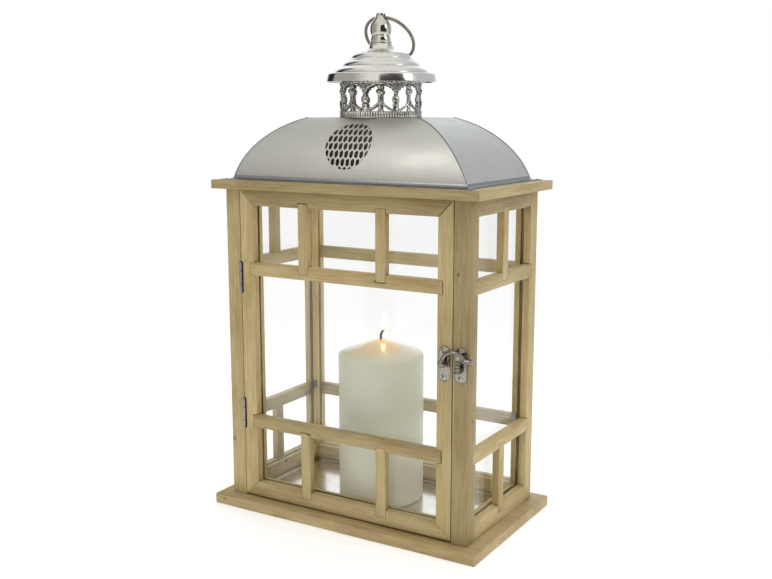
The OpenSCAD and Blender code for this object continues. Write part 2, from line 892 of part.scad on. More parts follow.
base_board();
floor_tray();
top_strip_front();
top_strip_back();
top_strip_left();
top_strip_right();
post_front_left();
post_front_right();
post_back_left();
post_back_right();
left_top_rail();
left_bottom_rail();
left_upper_bar();
left_lower_bar();
left_muntins();
right_top_rail();
right_bottom_rail();
right_upper_bar();
right_lower_bar();
right_muntins();
back_top_rail();
back_bottom_rail();
back_upper_bar();
back_lower_bar();
door_left_stile();
door_right_stile();
door_top_rail();
door_bottom_rail();
door_upper_bar();
door_lower_bar();
door_muntins();
door_glass();
left_glass();
right_glass();
back_glass();
glass_clips();
upper_hinge_frame_leaf();
upper_hinge_door_leaf();
lower_hinge_frame_leaf();
lower_hinge_door_leaf();
hinge_pins();
hinge_frame_screws();
hinge_door_screws();
latch_plate();
latch_screws();
latch_pivot();
latch_arm();
catch_plate();
catch_screws();
catch_stud();
roof();
roof_screws();
collar();
cap();
finial();
finial_bolt();
hanging_ring();
candle();
wick();
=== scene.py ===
import json
import random
from math import asin, cos, hypot, pi, radians, sin, sqrt

import bmesh
import bpy
from mathutils import Matrix, Vector, geometry

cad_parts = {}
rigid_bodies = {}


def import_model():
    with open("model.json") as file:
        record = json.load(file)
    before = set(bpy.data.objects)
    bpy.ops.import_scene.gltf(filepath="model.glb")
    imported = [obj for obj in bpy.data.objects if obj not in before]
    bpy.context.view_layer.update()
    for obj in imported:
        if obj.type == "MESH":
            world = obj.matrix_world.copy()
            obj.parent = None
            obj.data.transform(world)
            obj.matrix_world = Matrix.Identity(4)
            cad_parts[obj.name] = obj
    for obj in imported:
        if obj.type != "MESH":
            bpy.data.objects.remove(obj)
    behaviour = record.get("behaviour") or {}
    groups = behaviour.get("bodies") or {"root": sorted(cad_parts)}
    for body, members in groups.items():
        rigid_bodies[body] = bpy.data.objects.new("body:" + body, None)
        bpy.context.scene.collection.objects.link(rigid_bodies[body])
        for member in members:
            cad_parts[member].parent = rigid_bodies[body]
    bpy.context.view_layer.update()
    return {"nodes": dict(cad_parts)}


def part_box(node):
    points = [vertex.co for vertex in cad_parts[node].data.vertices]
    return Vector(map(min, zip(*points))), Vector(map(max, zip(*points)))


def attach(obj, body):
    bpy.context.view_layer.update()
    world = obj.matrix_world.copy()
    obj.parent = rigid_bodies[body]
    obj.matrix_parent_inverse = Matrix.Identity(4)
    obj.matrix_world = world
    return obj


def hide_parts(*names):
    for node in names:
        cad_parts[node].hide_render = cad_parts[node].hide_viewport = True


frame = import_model()
NODES = frame["nodes"]
scene = bpy.context.scene
MM = 0.001
WHITE = (1, 1, 1, 1)
X, Y, Z = range(3)


def lin(r, g, b):
    """Linear colour from an sRGB colour of 0 to 255."""
    parts = (r / 255, g / 255, b / 255)
    return *(c / 12.92 if c <= 0.04045 else ((c + 0.055) / 1.055) ** 2.4 for c in parts), 1.0


# ---- materials


def dim(colour, share):
    """A colour made darker or lighter by a factor."""
    return [c * share for c in colour[:3]] + [1.0]


class Shade:
    """A shader built node by node. An input is a number, a colour, a vector or a socket."""

    def __init__(self, name, kind="Material"):
        owners = bpy.data.materials if kind == "Material" else bpy.data.worlds
        self.owner = owners.new(name)
        self.owner.use_nodes = True
        self.tree = self.owner.node_tree
        self.tree.nodes.clear()
        self.end = self.tree.nodes.new("ShaderNodeOutput" + kind)

    def add(self, kind, inputs=None, out=0, **settings):
        node = self.tree.nodes.new("ShaderNode" + kind)
        for key, value in settings.items():
            setattr(node, key, value)
        for key, value in (inputs or {}).items():
            if isinstance(value, bpy.types.NodeSocket):
                self.tree.links.new(value, node.inputs[key])
            else:
                node.inputs[key].default_value = value
        return node.outputs[out]

    def math(self, operation, a, b=0.0, clamp=False):
        return self.add("Math", {0: a, 1: b}, operation=operation, use_clamp=clamp)

    def plus(self, a, b, clamp=False):
        return self.math("ADD", a, b, clamp)

    def times(self, a, b):
        return self.math("MULTIPLY", a, b)

    def vec(self, operation, a, b=(0, 0, 0), out=0):
        return self.add("VectorMath", {0: a, 1: b}, out=out, operation=operation)

    def scale(self, a, factors):
        return self.vec("MULTIPLY", a, factors)

    def length(self, a):
        return self.vec("LENGTH", a, out=1)

    def part(self, a, axis):
        """One coordinate of a vector."""
        return self.add("SeparateXYZ", {0: a}, axis)

    def place(self):
        """The point of the surface in the object's own frame, in millimetres."""
        return self.scale(self.add("TexCoord", out=3), (1000, 1000, 1000))

    def noise(self, at, scale=1.0, detail=2.0, rough=0.5):
        inputs = {"Vector": at, "Scale": scale, "Detail": detail, "Roughness": rough}
        return self.add("TexNoise", inputs)

    def span(self, value, low, high, to_low=0.0, to_high=1.0, kind="SMOOTHSTEP"):
        """Value taken from the range low..high to another range."""
        inputs = {0: value, 1: low, 2: high, 3: to_low, 4: to_high}
        return self.add("MapRange", inputs, interpolation_type=kind)

    def mix(self, share, a, b):
        return self.add("Mix", {0: share, 6: a, 7: b}, out=2, data_type="RGBA")

    def bump(self, height, strength, distance):
        return self.add("Bump", {"Height": height, "Strength": strength, "Distance": distance})

    def finish(self, shader):
        self.tree.links.new(shader, self.end.inputs["Surface"])
        return self.owner

    def principled(self, **inputs):
        named = {key.replace("_", " "): value for key, value in inputs.items()}
        return self.finish(self.add("BsdfPrincipled", named))


def aside(axis, angle):
    """A unit vector at right angles to an axis."""
    flat = [cos(angle), sin(angle)]
    flat.insert(axis, 0.0)
    return flat


def wood(name, axis, seed, tone_and_shade=1.0, knots=()):
    """Light satin-finished softwood with its grain along one axis."""
    rnd = random.Random(seed)
    s = Shade(name)
    mm = s.place()

    def along(share):
        """Factors for a vector: a share along the grain, and 1 across it."""
        return [share if i == axis else 1.0 for i in range(3)]

    at = s.vec("ADD", mm, [rnd.uniform(-900, 900) for _ in range(3)])
    # Rings around a pith outside the board, bent by slow noise
    lean = rnd.uniform(0, 2 * pi)
    far = rnd.uniform(28, 60)
    low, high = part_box(name)
    middle = (low + high) * 500
    pith = [middle[i] + far * f for i, f in enumerate(aside(axis, lean))]
    wave = s.noise(s.scale(at, along(0.12)), 0.035, 2.0, 0.55)
    bend = s.times(s.math("SUBTRACT", wave, 0.5), 42.0)
    phase = s.plus(s.length(s.scale(s.vec("SUBTRACT", mm, pith), along(0.0))), bend)
    heart = None
    for spot, size in knots:
        gap = s.length(s.scale(s.vec("SUBTRACT", mm, spot), along(0.72)))
        phase = s.plus(phase, s.span(gap, 0.0, size * 5.0, size * 1.9, 0.0))
        here = s.span(s.plus(gap, s.times(wave, 0.6)), size * 0.55, size * 1.35, 1.0, 0.0)
        heart = here if heart is None else s.math("MAXIMUM", heart, here)
    ring = s.math("FRACT", s.math("DIVIDE", phase, rnd.uniform(2.6, 4.4)))
    late = s.math("POWER", ring, 3.0)
    fibre = s.noise(s.scale(at, along(0.018)), 2.6, 4.0, 0.7)
    fine = s.noise(s.scale(at, along(0.03)), 0.7, 3.0, 0.6)
    blotch = s.noise(s.scale(at, along(0.35)), 0.045, 3.0, 0.55)
    share = s.plus(s.times(late, 0.24), s.span(fibre, 0.32, 0.72, -0.2, 0.42))
    share = s.plus(share, s.span(fine, 0.3, 0.7, -0.12, 0.26))
    share = s.plus(share, s.span(blotch, 0.3, 0.7, 0.0, 0.5), clamp=True)
    colour = s.mix(share, dim(lin(209, 189, 141), tone_and_shade), dim(lin(173, 148, 98), tone_and_shade))
    # Short dark pores along the grain
    pores = s.span(s.noise(s.scale(at, along(0.045)), 1.9, 1.0, 0.4), 0.70, 0.78)
    colour = s.mix(s.times(pores, 0.45), colour, lin(120, 88, 48))
    if heart is not None:
        colour = s.mix(s.times(heart, 0.68), colour, lin(92, 62, 34))
    # Painted shade in the seams and corners, found by ambient occlusion and made patchy by noise, on faces
    # turned away from the cage's middle
    seam_shade = s.add("AmbientOcclusion", {"Distance": 0.0018}, out=1, samples=6)
    seam_shade = s.times(s.span(seam_shade, 0.3, 0.7, 0.85, 0.0), s.span(blotch, 0.35, 0.6, 0.45, 1.0))
    flat = s.scale(mm, (0.54, 1.0, 0.0))
    outward = s.vec("DOT_PRODUCT", s.add("NewGeometry", out=1), s.vec("NORMALIZE", flat), out=1)
    colour = s.mix(s.times(seam_shade, s.span(outward, 0.1, 0.35)), colour, lin(58, 38, 20))
    height = s.math("SUBTRACT", s.times(fibre, 0.8), s.times(pores, 0.5))
    height = s.plus(height, s.times(late, 0.25))
    return s.principled(
        Base_Color=colour, Roughness=s.span(fibre, 0.3, 0.7, 0.46, 0.6),
        Normal=s.bump(height, 0.35, 0.00016), Specular_IOR_Level=0.35,
    )


def metal(name, colour, rough, brush=None, brush_size=1.2, spread=0.06, grime_and_shade=0.0, bump=0.1,
          turned=False, pits=0.0, stretch=0.0, recess=None, recess_colour=lin(34, 31, 27),
          dirt=0.35, cast=0.0, metallic=1.0):
    """Bare metal: fine brushed lines along an axis or around Z, wear, stains with painted shade in the
    hollows, and dark recesses.
    """
    s = Shade(name)
    mm = s.place()
    if turned:
        x, y, z = (s.part(mm, axis) for axis in range(3))
        turn = s.times(s.math("ARCTAN2", y, x), 0.35)
        line = s.add("CombineXYZ", {0: s.length(s.scale(mm, (1, 1, 0))), 1: turn, 2: z})
    elif brush is not None:
        line = s.scale(mm, [0.02 if i == brush else 1.0 for i in range(3)])
    else:
        line = mm
    lines = s.noise(line, brush_size, 4.0, 0.75)
    cloud = s.noise(mm, 0.06, 3.0, 0.6)
    level = s.plus(s.span(lines, 0.25, 0.75, -spread, spread, "LINEAR"),
                   s.span(cloud, 0.3, 0.7, rough - spread * 0.6, rough + spread * 0.8))
    base = s.mix(s.span(lines, 0.3, 0.7), dim(colour, 0.93), colour)
    base = s.mix(s.span(cloud, 0.35, 0.75, 0.0, 0.25), base, dim(colour, 0.84))
    if grime_and_shade > 0:
        # Real stains, and painted shade in hollows and where parts meet, found by ambient occlusion
        stain = s.span(s.noise(mm, 0.9, 4.0, 0.65), 0.52, 0.75, 0.0, dirt)
        hollow_shade = s.add("AmbientOcclusion", {"Distance": 0.003}, out=1, samples=4)
        dark = s.plus(s.span(hollow_shade, 0.35, 0.95, 1.0, 0.0), stain, clamp=True)
        base = s.mix(s.times(dark, grime_and_shade), base, lin(52, 47, 40))
        level = s.plus(level, s.times(dark, 0.22))
    if recess is not None:
        base = s.mix(recess(s, mm), base, recess_colour)
    if pits > 0:
        spots = s.noise(mm, 2.3, 2.0, 0.5)
        base = s.mix(s.times(s.span(spots, 0.68, 0.76), pits), base, lin(90, 88, 84))
    height = lines
    if cast > 0:
        height = s.plus(s.times(lines, 0.2), s.times(s.noise(mm, 0.42, 2.0, 0.5), cast))
    normal = s.bump(height, bump, 0.00004)
    look = {"Base_Color": base, "Metallic": metallic, "Roughness": level, "Normal": normal}
    if stretch > 0:
        # Highlights spread across the brushed lines
        if turned:
            run = s.add("Tangent", direction_type="RADIAL", axis="Z")
        else:
            run = s.add("CombineXYZ", {brush: 1.0})
        look.update(Tangent=run, Anisotropic=stretch, Anisotropic_Rotation=0.25)
    return s.principled(**look)


def collar_dark_marks(s, mm):
    """Darker between the flutes of the collar's foot; above the foot, small dark specks over the ornament,
    painted shade for the twist of its ropes.
    """
    x, y, z = (s.part(mm, axis) for axis in range(3))
    flute = s.math("COSINE", s.times(s.math("ARCTAN2", y, x), FLUTES))
    foot = s.span(z, COLLAR_Z + 5.0, COLLAR_Z + 5.4, 1.0, 0.0)
    patchy = s.noise(mm, 0.22, 2.0, 0.5)
    groove = s.times(s.span(flute, -0.75, 0.1, 1.0, 0.0), s.span(patchy, 0.38, 0.6, 0.25, 0.9))
    # Painted shade: dark specks standing for the twist of the ropes
    twist_shade = s.times(s.span(s.noise(mm, 0.85, 2.0, 0.6), 0.47, 0.56), 0.75)
    return s.plus(s.times(groove, foot), s.times(twist_shade, s.math("SUBTRACT", 1.0, foot)))


def tray_brown_marks(s, mm):
    """Brownish on the tray's upturned rim, and fainter in patches over its floor."""
    rim = s.span(s.part(mm, Z), TRAY_Z + 0.2, TRAY_Z + 0.6, 0.0, 0.9)
    patch = s.noise(s.scale(mm, (1.0, 0.25, 1.0)), 0.5, 4.0, 0.7)
    return s.plus(rim, s.span(patch, 0.5, 0.75, 0.0, 0.3), clamp=True)


def dull_metal(name, colour):
    """Unpolished sheet, dull enough to scatter the light that reaches the inside."""
    s = Shade(name)
    cloud = s.noise(s.place(), 0.08, 3.0, 0.6)
    rough = s.span(cloud, 0.3, 0.7, 0.45, 0.65)
    return s.principled(Base_Color=s.mix(cloud, dim(colour, 0.8), colour), Roughness=rough)


def clear_glass():
    """Thin window glass that lets light straight through, with faint dust and streaks."""
    s = Shade("clear_glass")
    mm = s.place()
    edge = s.math("POWER", s.add("LayerWeight", {"Blend": 0.5}, out=1), 5.0)
    shine = s.plus(s.times(edge, 0.8), 0.03)
    streak = s.noise(s.scale(mm, (0.25, 0.25, 0.06)), 0.12, 3.0, 0.6)
    haze = s.noise(mm, 0.9, 4.0, 0.7)
    dust = s.times(s.span(streak, 0.45, 0.8), s.span(haze, 0.4, 0.8, 0.2, 1.0))
    clear = s.add("BsdfTransparent", {"Color": (0.992, 0.997, 0.994, 1)})
    film = s.add("BsdfDiffuse", {"Color": (0.85, 0.85, 0.83, 1)})
    body = s.add("MixShader", {0: s.times(dust, 0.005), 1: clear, 2: film})
    gloss = s.add("BsdfGlossy", {"Color": WHITE, "Roughness": 0.03})
    return s.finish(s.add("MixShader", {0: shine, 1: body, 2: gloss}))


COLLAR_Z, CAP_Z, FINIAL_Z, EYE_Z = 365.3, 396.3, 429.8, 452.5
TRAY_Z, RING_R, FLUTES = 10.3, 23.3, 96


def grain_axis(name):
    if name.startswith("post_") or "muntins" in name or "stile" in name:
        return Z
    return Y if name.startswith(("left_", "right_", "top_strip_left", "top_strip_right")) else X


def is_wood(name):
    return any(word in name for word in ("base_board", "post_", "strip", "rail", "_bar", "muntins", "stile"))


def dress(names, material):
    for name in names:
        NODES[name].data.materials.clear()
        NODES[name].data.materials.append(material)


# Boards whose colour differs plainly from the average. Some differ in their own tone; the rails under the
# top frame and the roof carry painted shade, and the back post and lower bars seen from inside carry painted
# light
TONES_AND_SHADE = {
    "top_strip_front": 0.8, "door_top_rail": 0.79, "door_left_stile": 1.02, "door_lower_bar": 0.82,
    "post_front_right": 0.72, "post_front_left": 0.94, "door_muntins": 0.95, "right_upper_bar": 0.92,
    "top_strip_right": 0.94, "right_top_rail": 0.7, "door_right_stile": 1.0, "door_bottom_rail": 0.9,
    "base_board": 0.87, "post_back_left": 1.12, "back_lower_bar": 1.1, "left_lower_bar": 1.1,
}
KNOTS = {
    "post_front_right": [((113.8, -67.0, 240.9), 1.7), ((125.0, -60.0, 118.0), 1.6)],
    "post_front_left": [((-122.8, -67.0, 63.5), 1.9)],
    "left_bottom_rail": [((-111.0, -2.0, 23.5), 2.0)],
    "base_board": [((92.0, -79.0, 4.0), 0.6), ((-127.0, -79.0, 5.4), 1.3)],
    "door_left_stile": [((-104.0, -67.0, 236.0), 0.9)],
}

for number, name in enumerate(sorted(NODES)):
    if not is_wood(name):
        continue
    tone_and_shade = TONES_AND_SHADE.get(name, 0.94 + 0.12 * random.Random(number).random())
    dress([name], wood(name, grain_axis(name), number + 7, tone_and_shade, KNOTS.get(name, ())))
    node = NODES[name]
    weld = node.modifiers.new("weld", "WELD")
    weld.merge_threshold = 0.00001
    bevel = node.modifiers.new("soft_edges", "BEVEL")
    bevel.width = 0.0007
    bevel.segments = 2
    bevel.limit_method = "ANGLE"
    bevel.angle_limit = radians(40)
    bevel.harden_normals = True
    for polygon in node.data.polygons:
        polygon.use_smooth = True

# ---- meshes, in millimetres


def circle(radius, count):
    """Points around a circle."""
    angles = [2 * pi * i / count for i in range(count)]
    return [(radius * cos(a), radius * sin(a)) for a in angles]


class Build:
    """Collects the faces of one piece, in millimetres."""

    def __init__(self):
        self.verts = []
        self.faces = []
        self.slots = []
        self.normals = {}

    def face(self, corners, slot=0, normals=None):
        if normals is not None:
            self.normals[len(self.faces)] = normals
        self.faces.append(tuple(corners))
        self.slots.append(slot)

    def points(self, points, matrix=None):
        first = len(self.verts)
        for p in points:
            self.verts.append(Vector(p) if matrix is None else matrix @ Vector(p))
        return list(range(first, len(self.verts)))

    def rings(self, rings, close_ends=True, close_round=False):
        """Faces between rings of vertices; a ring of one vertex is a tip."""
        pairs = list(zip(rings, rings[1:]))
        if close_round:
            pairs.append((rings[-1], rings[0]))
        for a, b in pairs:
            n = max(len(a), len(b))
            for i in range(n):
                j = (i + 1) % n
                if len(a) == 1:
                    self.face((a[0], b[j], b[i]))
                elif len(b) == 1:
                    self.face((a[i], a[j], b[0]))
                else:
                    self.face((a[i], a[j], b[j], b[i]))
        if close_ends and not close_round:
            if len(rings[0]) > 2:
                self.face(rings[0][::-1])
            if len(rings[-1]) > 2:
                self.face(rings[-1])

    def lathe(self, profile, matrix=None, sides=48, wave=None, close_ends=True, close_round=False):
        """Turns (radius, height) points around Z. wave(angle, height) adds to the radius."""
        rings = []
        for radius, height in profile:
            if radius < 1e-6:
                rings.append(self.points([(0, 0, height)], matrix))
                continue
            ring = []
            for i in range(sides):
                angle = 2 * pi * i / sides
                r = radius + (wave(angle, height) if wave else 0.0)
                ring.append((r * cos(angle), r * sin(angle), height))
            rings.append(self.points(ring, matrix))
        self.rings(rings, close_ends, close_round)

    def tube(self, path, radius, sides=8, closed=False, lobes=0, twist=0.0, flat=1.0, up=None):
        """A tube along a path. Lobes and twist make a rope; flat thins it towards up."""
        path = [Vector(p) for p in path]
        count = len(path)
        side = None
        rings = []
        for k, p in enumerate(path):
            if closed:
                tangent = (path[(k + 1) % count] - path[k - 1]).normalized()
            else:
                tangent = (path[min(k + 1, count - 1)] - path[max(k - 1, 0)]).normalized()
            if up is not None:
                side = tangent.cross(Vector(up(p) if callable(up) else up)).normalized()
            elif side is None:
                side = tangent.orthogonal().normalized()
            else:
                side = (side - tangent * side.dot(tangent)).normalized()
            other = tangent.cross(side)
            r = radius(k / max(count - 1, 1)) if callable(radius) else radius
            ring = []
            for i in range(sides):
                a = 2 * pi * i / sides
                bulge = 1.0 + (0.22 * cos(lobes * (a - twist * k)) if lobes else 0.0)
                ring.append(p + (side * cos(a) + other * sin(a) * flat) * r * bulge)
            rings.append(self.points(ring))
        self.rings(rings, not closed, closed)

    def plate(self, outline, low, high, chamfer, matrix=None):
        """A flat plate with a chamfered upper rim, from a convex outline."""
        n = len(outline)
        inner = []
        for i in range(n):
            a, b, c = (Vector(outline[(i + k) % n]) for k in (-1, 0, 1))
            da, dc = (b - a).normalized(), (c - b).normalized()
            normal = Vector((-(da.y + dc.y), da.x + dc.x)).normalized()
            inner.append(b + normal * chamfer / max(0.5, abs(normal.dot(Vector((-da.y, da.x))))))
        levels = [(outline, low), (outline, high - chamfer), (inner, high)]
        self.rings([self.points([(*p, z) for p in ring], matrix) for ring, z in levels])

    def object(self, name, materials, body, slot, replaces=(), sharp=38.0):
        mesh = bpy.data.meshes.new(name)
        mesh.from_pydata([v * MM for v in self.verts], [], self.faces)
        for material in materials:
            mesh.materials.append(material)
        mesh.polygons.foreach_set("material_index", self.slots)
        mesh.update()
        if not self.normals:
            bm = bmesh.new()
            bm.from_mesh(mesh)
            bmesh.ops.recalc_face_normals(bm, faces=bm.faces)
            bm.to_mesh(mesh)
            bm.free()
        mesh.shade_smooth()
        mesh.set_sharp_from_angle(angle=radians(sharp))
        if self.normals:
            loops = []
            for k, polygon in enumerate(mesh.polygons):
                given = self.normals.get(k)
                loops += given if given else [polygon.normal.copy()] * len(polygon.vertices)
            mesh.normals_split_custom_set(loops)
        made = bpy.data.objects.new(name, mesh)
        scene.collection.objects.link(made)
        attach(made, body)
        if replaces:
            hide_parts(*replaces)
        return made


def smooth(points, steps=4):
    """More points along a smooth curve through the given ones."""
    out = []
    pts = [Vector(p) for p in points]
    for i in range(len(pts) - 1):
        a, b, c, d = pts[max(i - 1, 0)], pts[i], pts[i + 1], pts[min(i + 2, len(pts) - 1)]
        for k in range(steps):
            t = k / steps
            square = (2 * a - 5 * b + 4 * c - d) * t**2
            out.append(0.5 * (2 * b + (c - a) * t + square + (3 * b - a - 3 * c + d) * t**3))
    out.append(pts[-1])
    return out


def raised(profile, height):
    """A (radius, height) profile moved up."""
    return [(r, z + height) for r, z in profile]


def clipped(outline, radius):
    """A convex outline cut off by a circle around the origin."""
    for nx, ny in circle(1.0, 72):
        kept = []
        for p, q in zip(outline, outline[1:] + outline[:1]):
            dp, dq = radius - p[0] * nx - p[1] * ny, radius - q[0] * nx - q[1] * ny
            if dp >= 0:
                kept.append(p)
            if dp * dq < 0:
                t = dp / (dp - dq)
                kept.append((p[0] + (q[0] - p[0]) * t, p[1] + (q[1] - p[1]) * t))
        outline = kept
        if len(outline) < 3:
            return []
    return outline


def inside(point, outline):
    """Whether a point lies within a convex outline."""
    x, y = point
    pairs = zip(outline, outline[1:] + outline[:1])
    turns = [(b[0] - a[0]) * (y - a[1]) - (b[1] - a[1]) * (x - a[0]) for a, b in pairs]
    return min(turns) > 0 or max(turns) < 0


def sheet(build, outline, holes, step, place, slot):
    """Thin sheet over an outline with holes. place(u, v) gives a point and its normal."""
    flat = [Vector(p) for p in outline]
    edges = [(i, (i + 1) % len(outline)) for i in range(len(outline))]
    for hole in holes:
        first = len(flat)
        flat += [Vector(p) for p in hole]
        edges += [(first + i, first + (i + 1) % len(hole)) for i in range(len(hole))]
    xs, ys = [p[0] for p in outline], [p[1] for p in outline]
    margin = step * 0.35
    for i in range(1, int((max(xs) - min(xs)) / step) + 1):
        for j in range(1, int((max(ys) - min(ys)) / step) + 1):
            x, y = min(xs) + i * step, min(ys) + j * step
            near = [(x + dx, y + dy) for dx in (-margin, margin) for dy in (-margin, margin)]
            if not all(inside(q, outline) for q in near):
                continue
            if not any(inside(q, hole) for q in near + [(x, y)] for hole in holes):
                flat.append(Vector((x, y)))
    got = geometry.delaunay_2d_cdt(flat, edges, [], 0, 1e-5)
    points, triangles = got[0], got[2]
    kept = []
    for t in triangles:
        middle = [sum(points[i][k] for i in t) / 3 for k in (0, 1)]
        if inside(middle, outline) and not any(inside(middle, hole) for hole in holes):
            kept.append(t)
    placed = [place(p[0], p[1]) for p in points]
    top = build.points([p for p, n in placed])
    low = build.points([p - n * SHEET for p, n in placed])
    used = {pair for t in kept for pair in zip(t, t[1:] + t[:1])}
    for t in kept:
        build.face([top[i] for i in t], slot, [placed[i][1] for i in t])
        build.face([low[i] for i in t[::-1]], 2, [-placed[i][1] for i in t[::-1]])
        for a, b in zip(t, t[1:] + t[:1]):
            if (b, a) not in used:
                build.face((top[b], top[a], low[a], low[b]), slot)


# ---- roof

ROOF_Z, EAVE_Z, CROWN_Z = 309.5, 313.3, 365.3
EAVE_X, EAVE_Y = 118.5, 62.0
ARCH_R, ARCH_Z = 62.0, 312.3
END_R, END_X, END_Z = 93.0, 33.62, 275.29
VENT_R, VENT_ANGLE = 23.0, 30.0
THROAT_R = 29.0
SHEET = 0.8


def hip_x(z):
    return END_X + sqrt(END_R**2 - (z - END_Z) ** 2)


def hip_y(z):
    return sqrt(ARCH_R**2 - (z - ARCH_Z) ** 2)


def hexagon(x, y, width, height):
    w, h = width / 2, height / 2
    right = [(x, y - h), (x + w, y - h / 2), (x + w, y + h / 2)]
    return right + [(x, y + h), (x - w, y + h / 2), (x - w, y - h / 2)]


def make_panel(build, levels, half, radius, centre, out, holes, step, slot):
    """A panel bent around a level axis: half(z) is half its width, and out is where it faces."""
    arc = [radius * asin((z - centre[2]) / radius) for z in levels]
    outline = [(half(z), v) for z, v in zip(levels, arc)]
    outline += [(-u, v) for u, v in reversed(outline)]
    out = Vector(out)
    along = Vector((-out.y, out.x, 0))

    def place(u, v):
        normal = out * cos(v / radius) + Vector((0, 0, sin(v / radius)))
        return Vector(centre) + along * u + normal * radius, normal

    sheet(build, outline, holes, step, place, slot)


def make_panels(levels):
    """The four curved panels and the flat crown of the roof."""
    build = Build()
    middle = ARCH_R * radians(VENT_ANGLE)
    holes = []
    for row in range(-3, 5):
        for col in range(-5, 6):
            x, y = (col + ((row + 1) % 2) / 2) * 5.1 + 0.4, row * 7.25 - 2.2
            hole = clipped(hexagon(x, y, 3.75, 8.0), VENT_R)
            area = sum(a[0] * b[1] - b[0] * a[1] for a, b in zip(hole, hole[1:] + hole[:1])) / 2
            if area > 2.0:
                holes.append(raised(hole, middle))
    for side in (-1, 1):
        make_panel(build, levels, hip_x, ARCH_R, (0, 0, ARCH_Z), (0, side, 0), holes, 4.5, 0)
    for side in (-1, 1):
        make_panel(build, levels, hip_y, END_R, (side * END_X, 0, END_Z), (side, 0, 0), [], 6.0, 1)
    x, y = hip_x(CROWN_Z), hip_y(CROWN_Z)
    crown = [(x, -y), (x, y), (-x, y), (-x, -y)]
    throat = circle(THROAT_R, 48)
    sheet(build, crown, [throat], 6.0, lambda u, v: (Vector((u, v, CROWN_Z)), Vector((0, 0, 1))), 0)
    build.object("roof_panels", [ROOF_X, ROOF_Y, ROOF_IN], "frame", "roof_steel", ["roof"])


def make_band():
    """Flared band at the eaves, and the flange with its four ears."""
    band = Build()
    rings = []
    for out, z in ((-1.2, 313.0), (0.0, 313.6), (0.25, 313.1), (0.5, 312.2), (1.1, 311.2), (2.2, 310.5),
                   (3.4, 310.3)):
        x, y = EAVE_X + out, EAVE_Y + out
        rings.append(band.points([(-x, -y, z), (x, -y, z), (x, y, z), (-x, y, z)]))
    band.rings(rings, close_ends=False)
    x, y = EAVE_X + 3.5, EAVE_Y + 3.5
    ear = [(x, y - 11.5), (x + 1.6, y - 4.5), (127.4, 70.4), (126.8, 71.3), (125.6, 71.3)]
    ear += [(x - 6.5, y + 1.4), (x - 13.5, y)]
    flange = []
    for sx, sy, flip in ((1, -1, True), (1, 1, False), (-1, 1, True), (-1, -1, False)):
        points = [(px * sx, py * sy) for px, py in ear]
        flange += points[::-1] if flip else points
    # The flange is open in the middle, so that the heat rises into the roof
    opening = [(max(-116.5, min(px, 116.5)), max(-60.2, min(py, 60.2))) for px, py in flange]
    chamfered = [(px * 0.9985, py * 0.9975) for px, py in flange]
    levels = [(flange, 0.02), (flange, 0.62), (chamfered, 0.82), (opening, 0.82), (opening, 0.02)]
    rings = [band.points([(px, py, ROOF_Z + z) for px, py in outline]) for outline, z in levels]
    band.rings(rings, close_round=True)
    band.object("roof_band", [BAND_SHADED], "frame", "roof_steel", sharp=32)


def make_roof():
    steps = 26
    levels = [EAVE_Z + (CROWN_Z - EAVE_Z) * (i / steps) for i in range(steps + 1)]
    make_panels(levels)
    make_band()
    # Folded hips
    hips = Build()
    for sx, sy in ((-1, -1), (-1, 1), (1, -1), (1, 1)):
        hips.tube([(sx * (hip_x(z) - 0.1), sy * (hip_y(z) - 0.1), z - 0.05) for z in levels], 0.55)
    hips.object("roof_hips", [BAND_SHADED], "frame", "roof_steel")


# ---- crown

PITCH = radians(22.5)  # From one pillar of the collar to the next


def on_collar(angle, z, radius=36.0):
    return (radius * cos(angle), radius * sin(angle), COLLAR_Z + z)


def outward(point):
    return (point[0], point[1], 0)


def make_fan(build, angle, stand):
    """Fluted foot, ball, and five ropes that open like a fan, with three rows across them."""
    def flutes(turn, height):
        return 0.22 * cos(8 * turn) if 6.1 < height < 10.8 else 0

    foot = [(0, 5.4), (3.3, 5.4), (3.5, 6.0), (3.1, 6.6), (2.7, 8.6), (2.4, 10.6), (2.9, 11.0), (2.9, 11.7),
            (1.5, 12.4), (0, 12.4)]
    build.lathe(foot, stand, 24, wave=flutes)
    ball = [(0, 12.2), (1.5, 12.4), (2.8, 13.3), (3.4, 15.2), (3.2, 16.8), (2.3, 18.3), (1.6, 18.8),
            (1.6, 19.3), (2.2, 19.8), (1.8, 20.4), (0, 20.4)]
    build.lathe(ball, stand, 20)
    low = 19.6
    for turn, top, size in ((-1.0, 29.6, 1.0), (-0.52, 30.4, 0.85), (0.0, 30.8, 0.95), (0.52, 30.4, 0.85),
                            (1.0, 29.6, 1.0)):
        line = []
        for k in range(15):
            t = k / 14
            swing = turn * PITCH * 0.97 * t**1.75
            rise = low + (top - low) * sin(t * pi / 2) ** 0.95
            line.append(on_collar(angle + swing, rise, 36.0 + 0.25 * (1 - abs(turn))))
        build.tube(line, size, 9, lobes=3, twist=0.55, up=outward, flat=0.75)
    for row, width in ((22.6, 0.16), (25.0, 0.3), (27.2, 0.5)):
        across = (-1, -0.6, -0.2, 0.2, 0.6, 1)
        line = [on_collar(angle + u * PITCH * width, row + 0.9 * (1 - abs(u)), 35.8) for u in across]
        build.tube(line, 0.75, 6, up=outward)


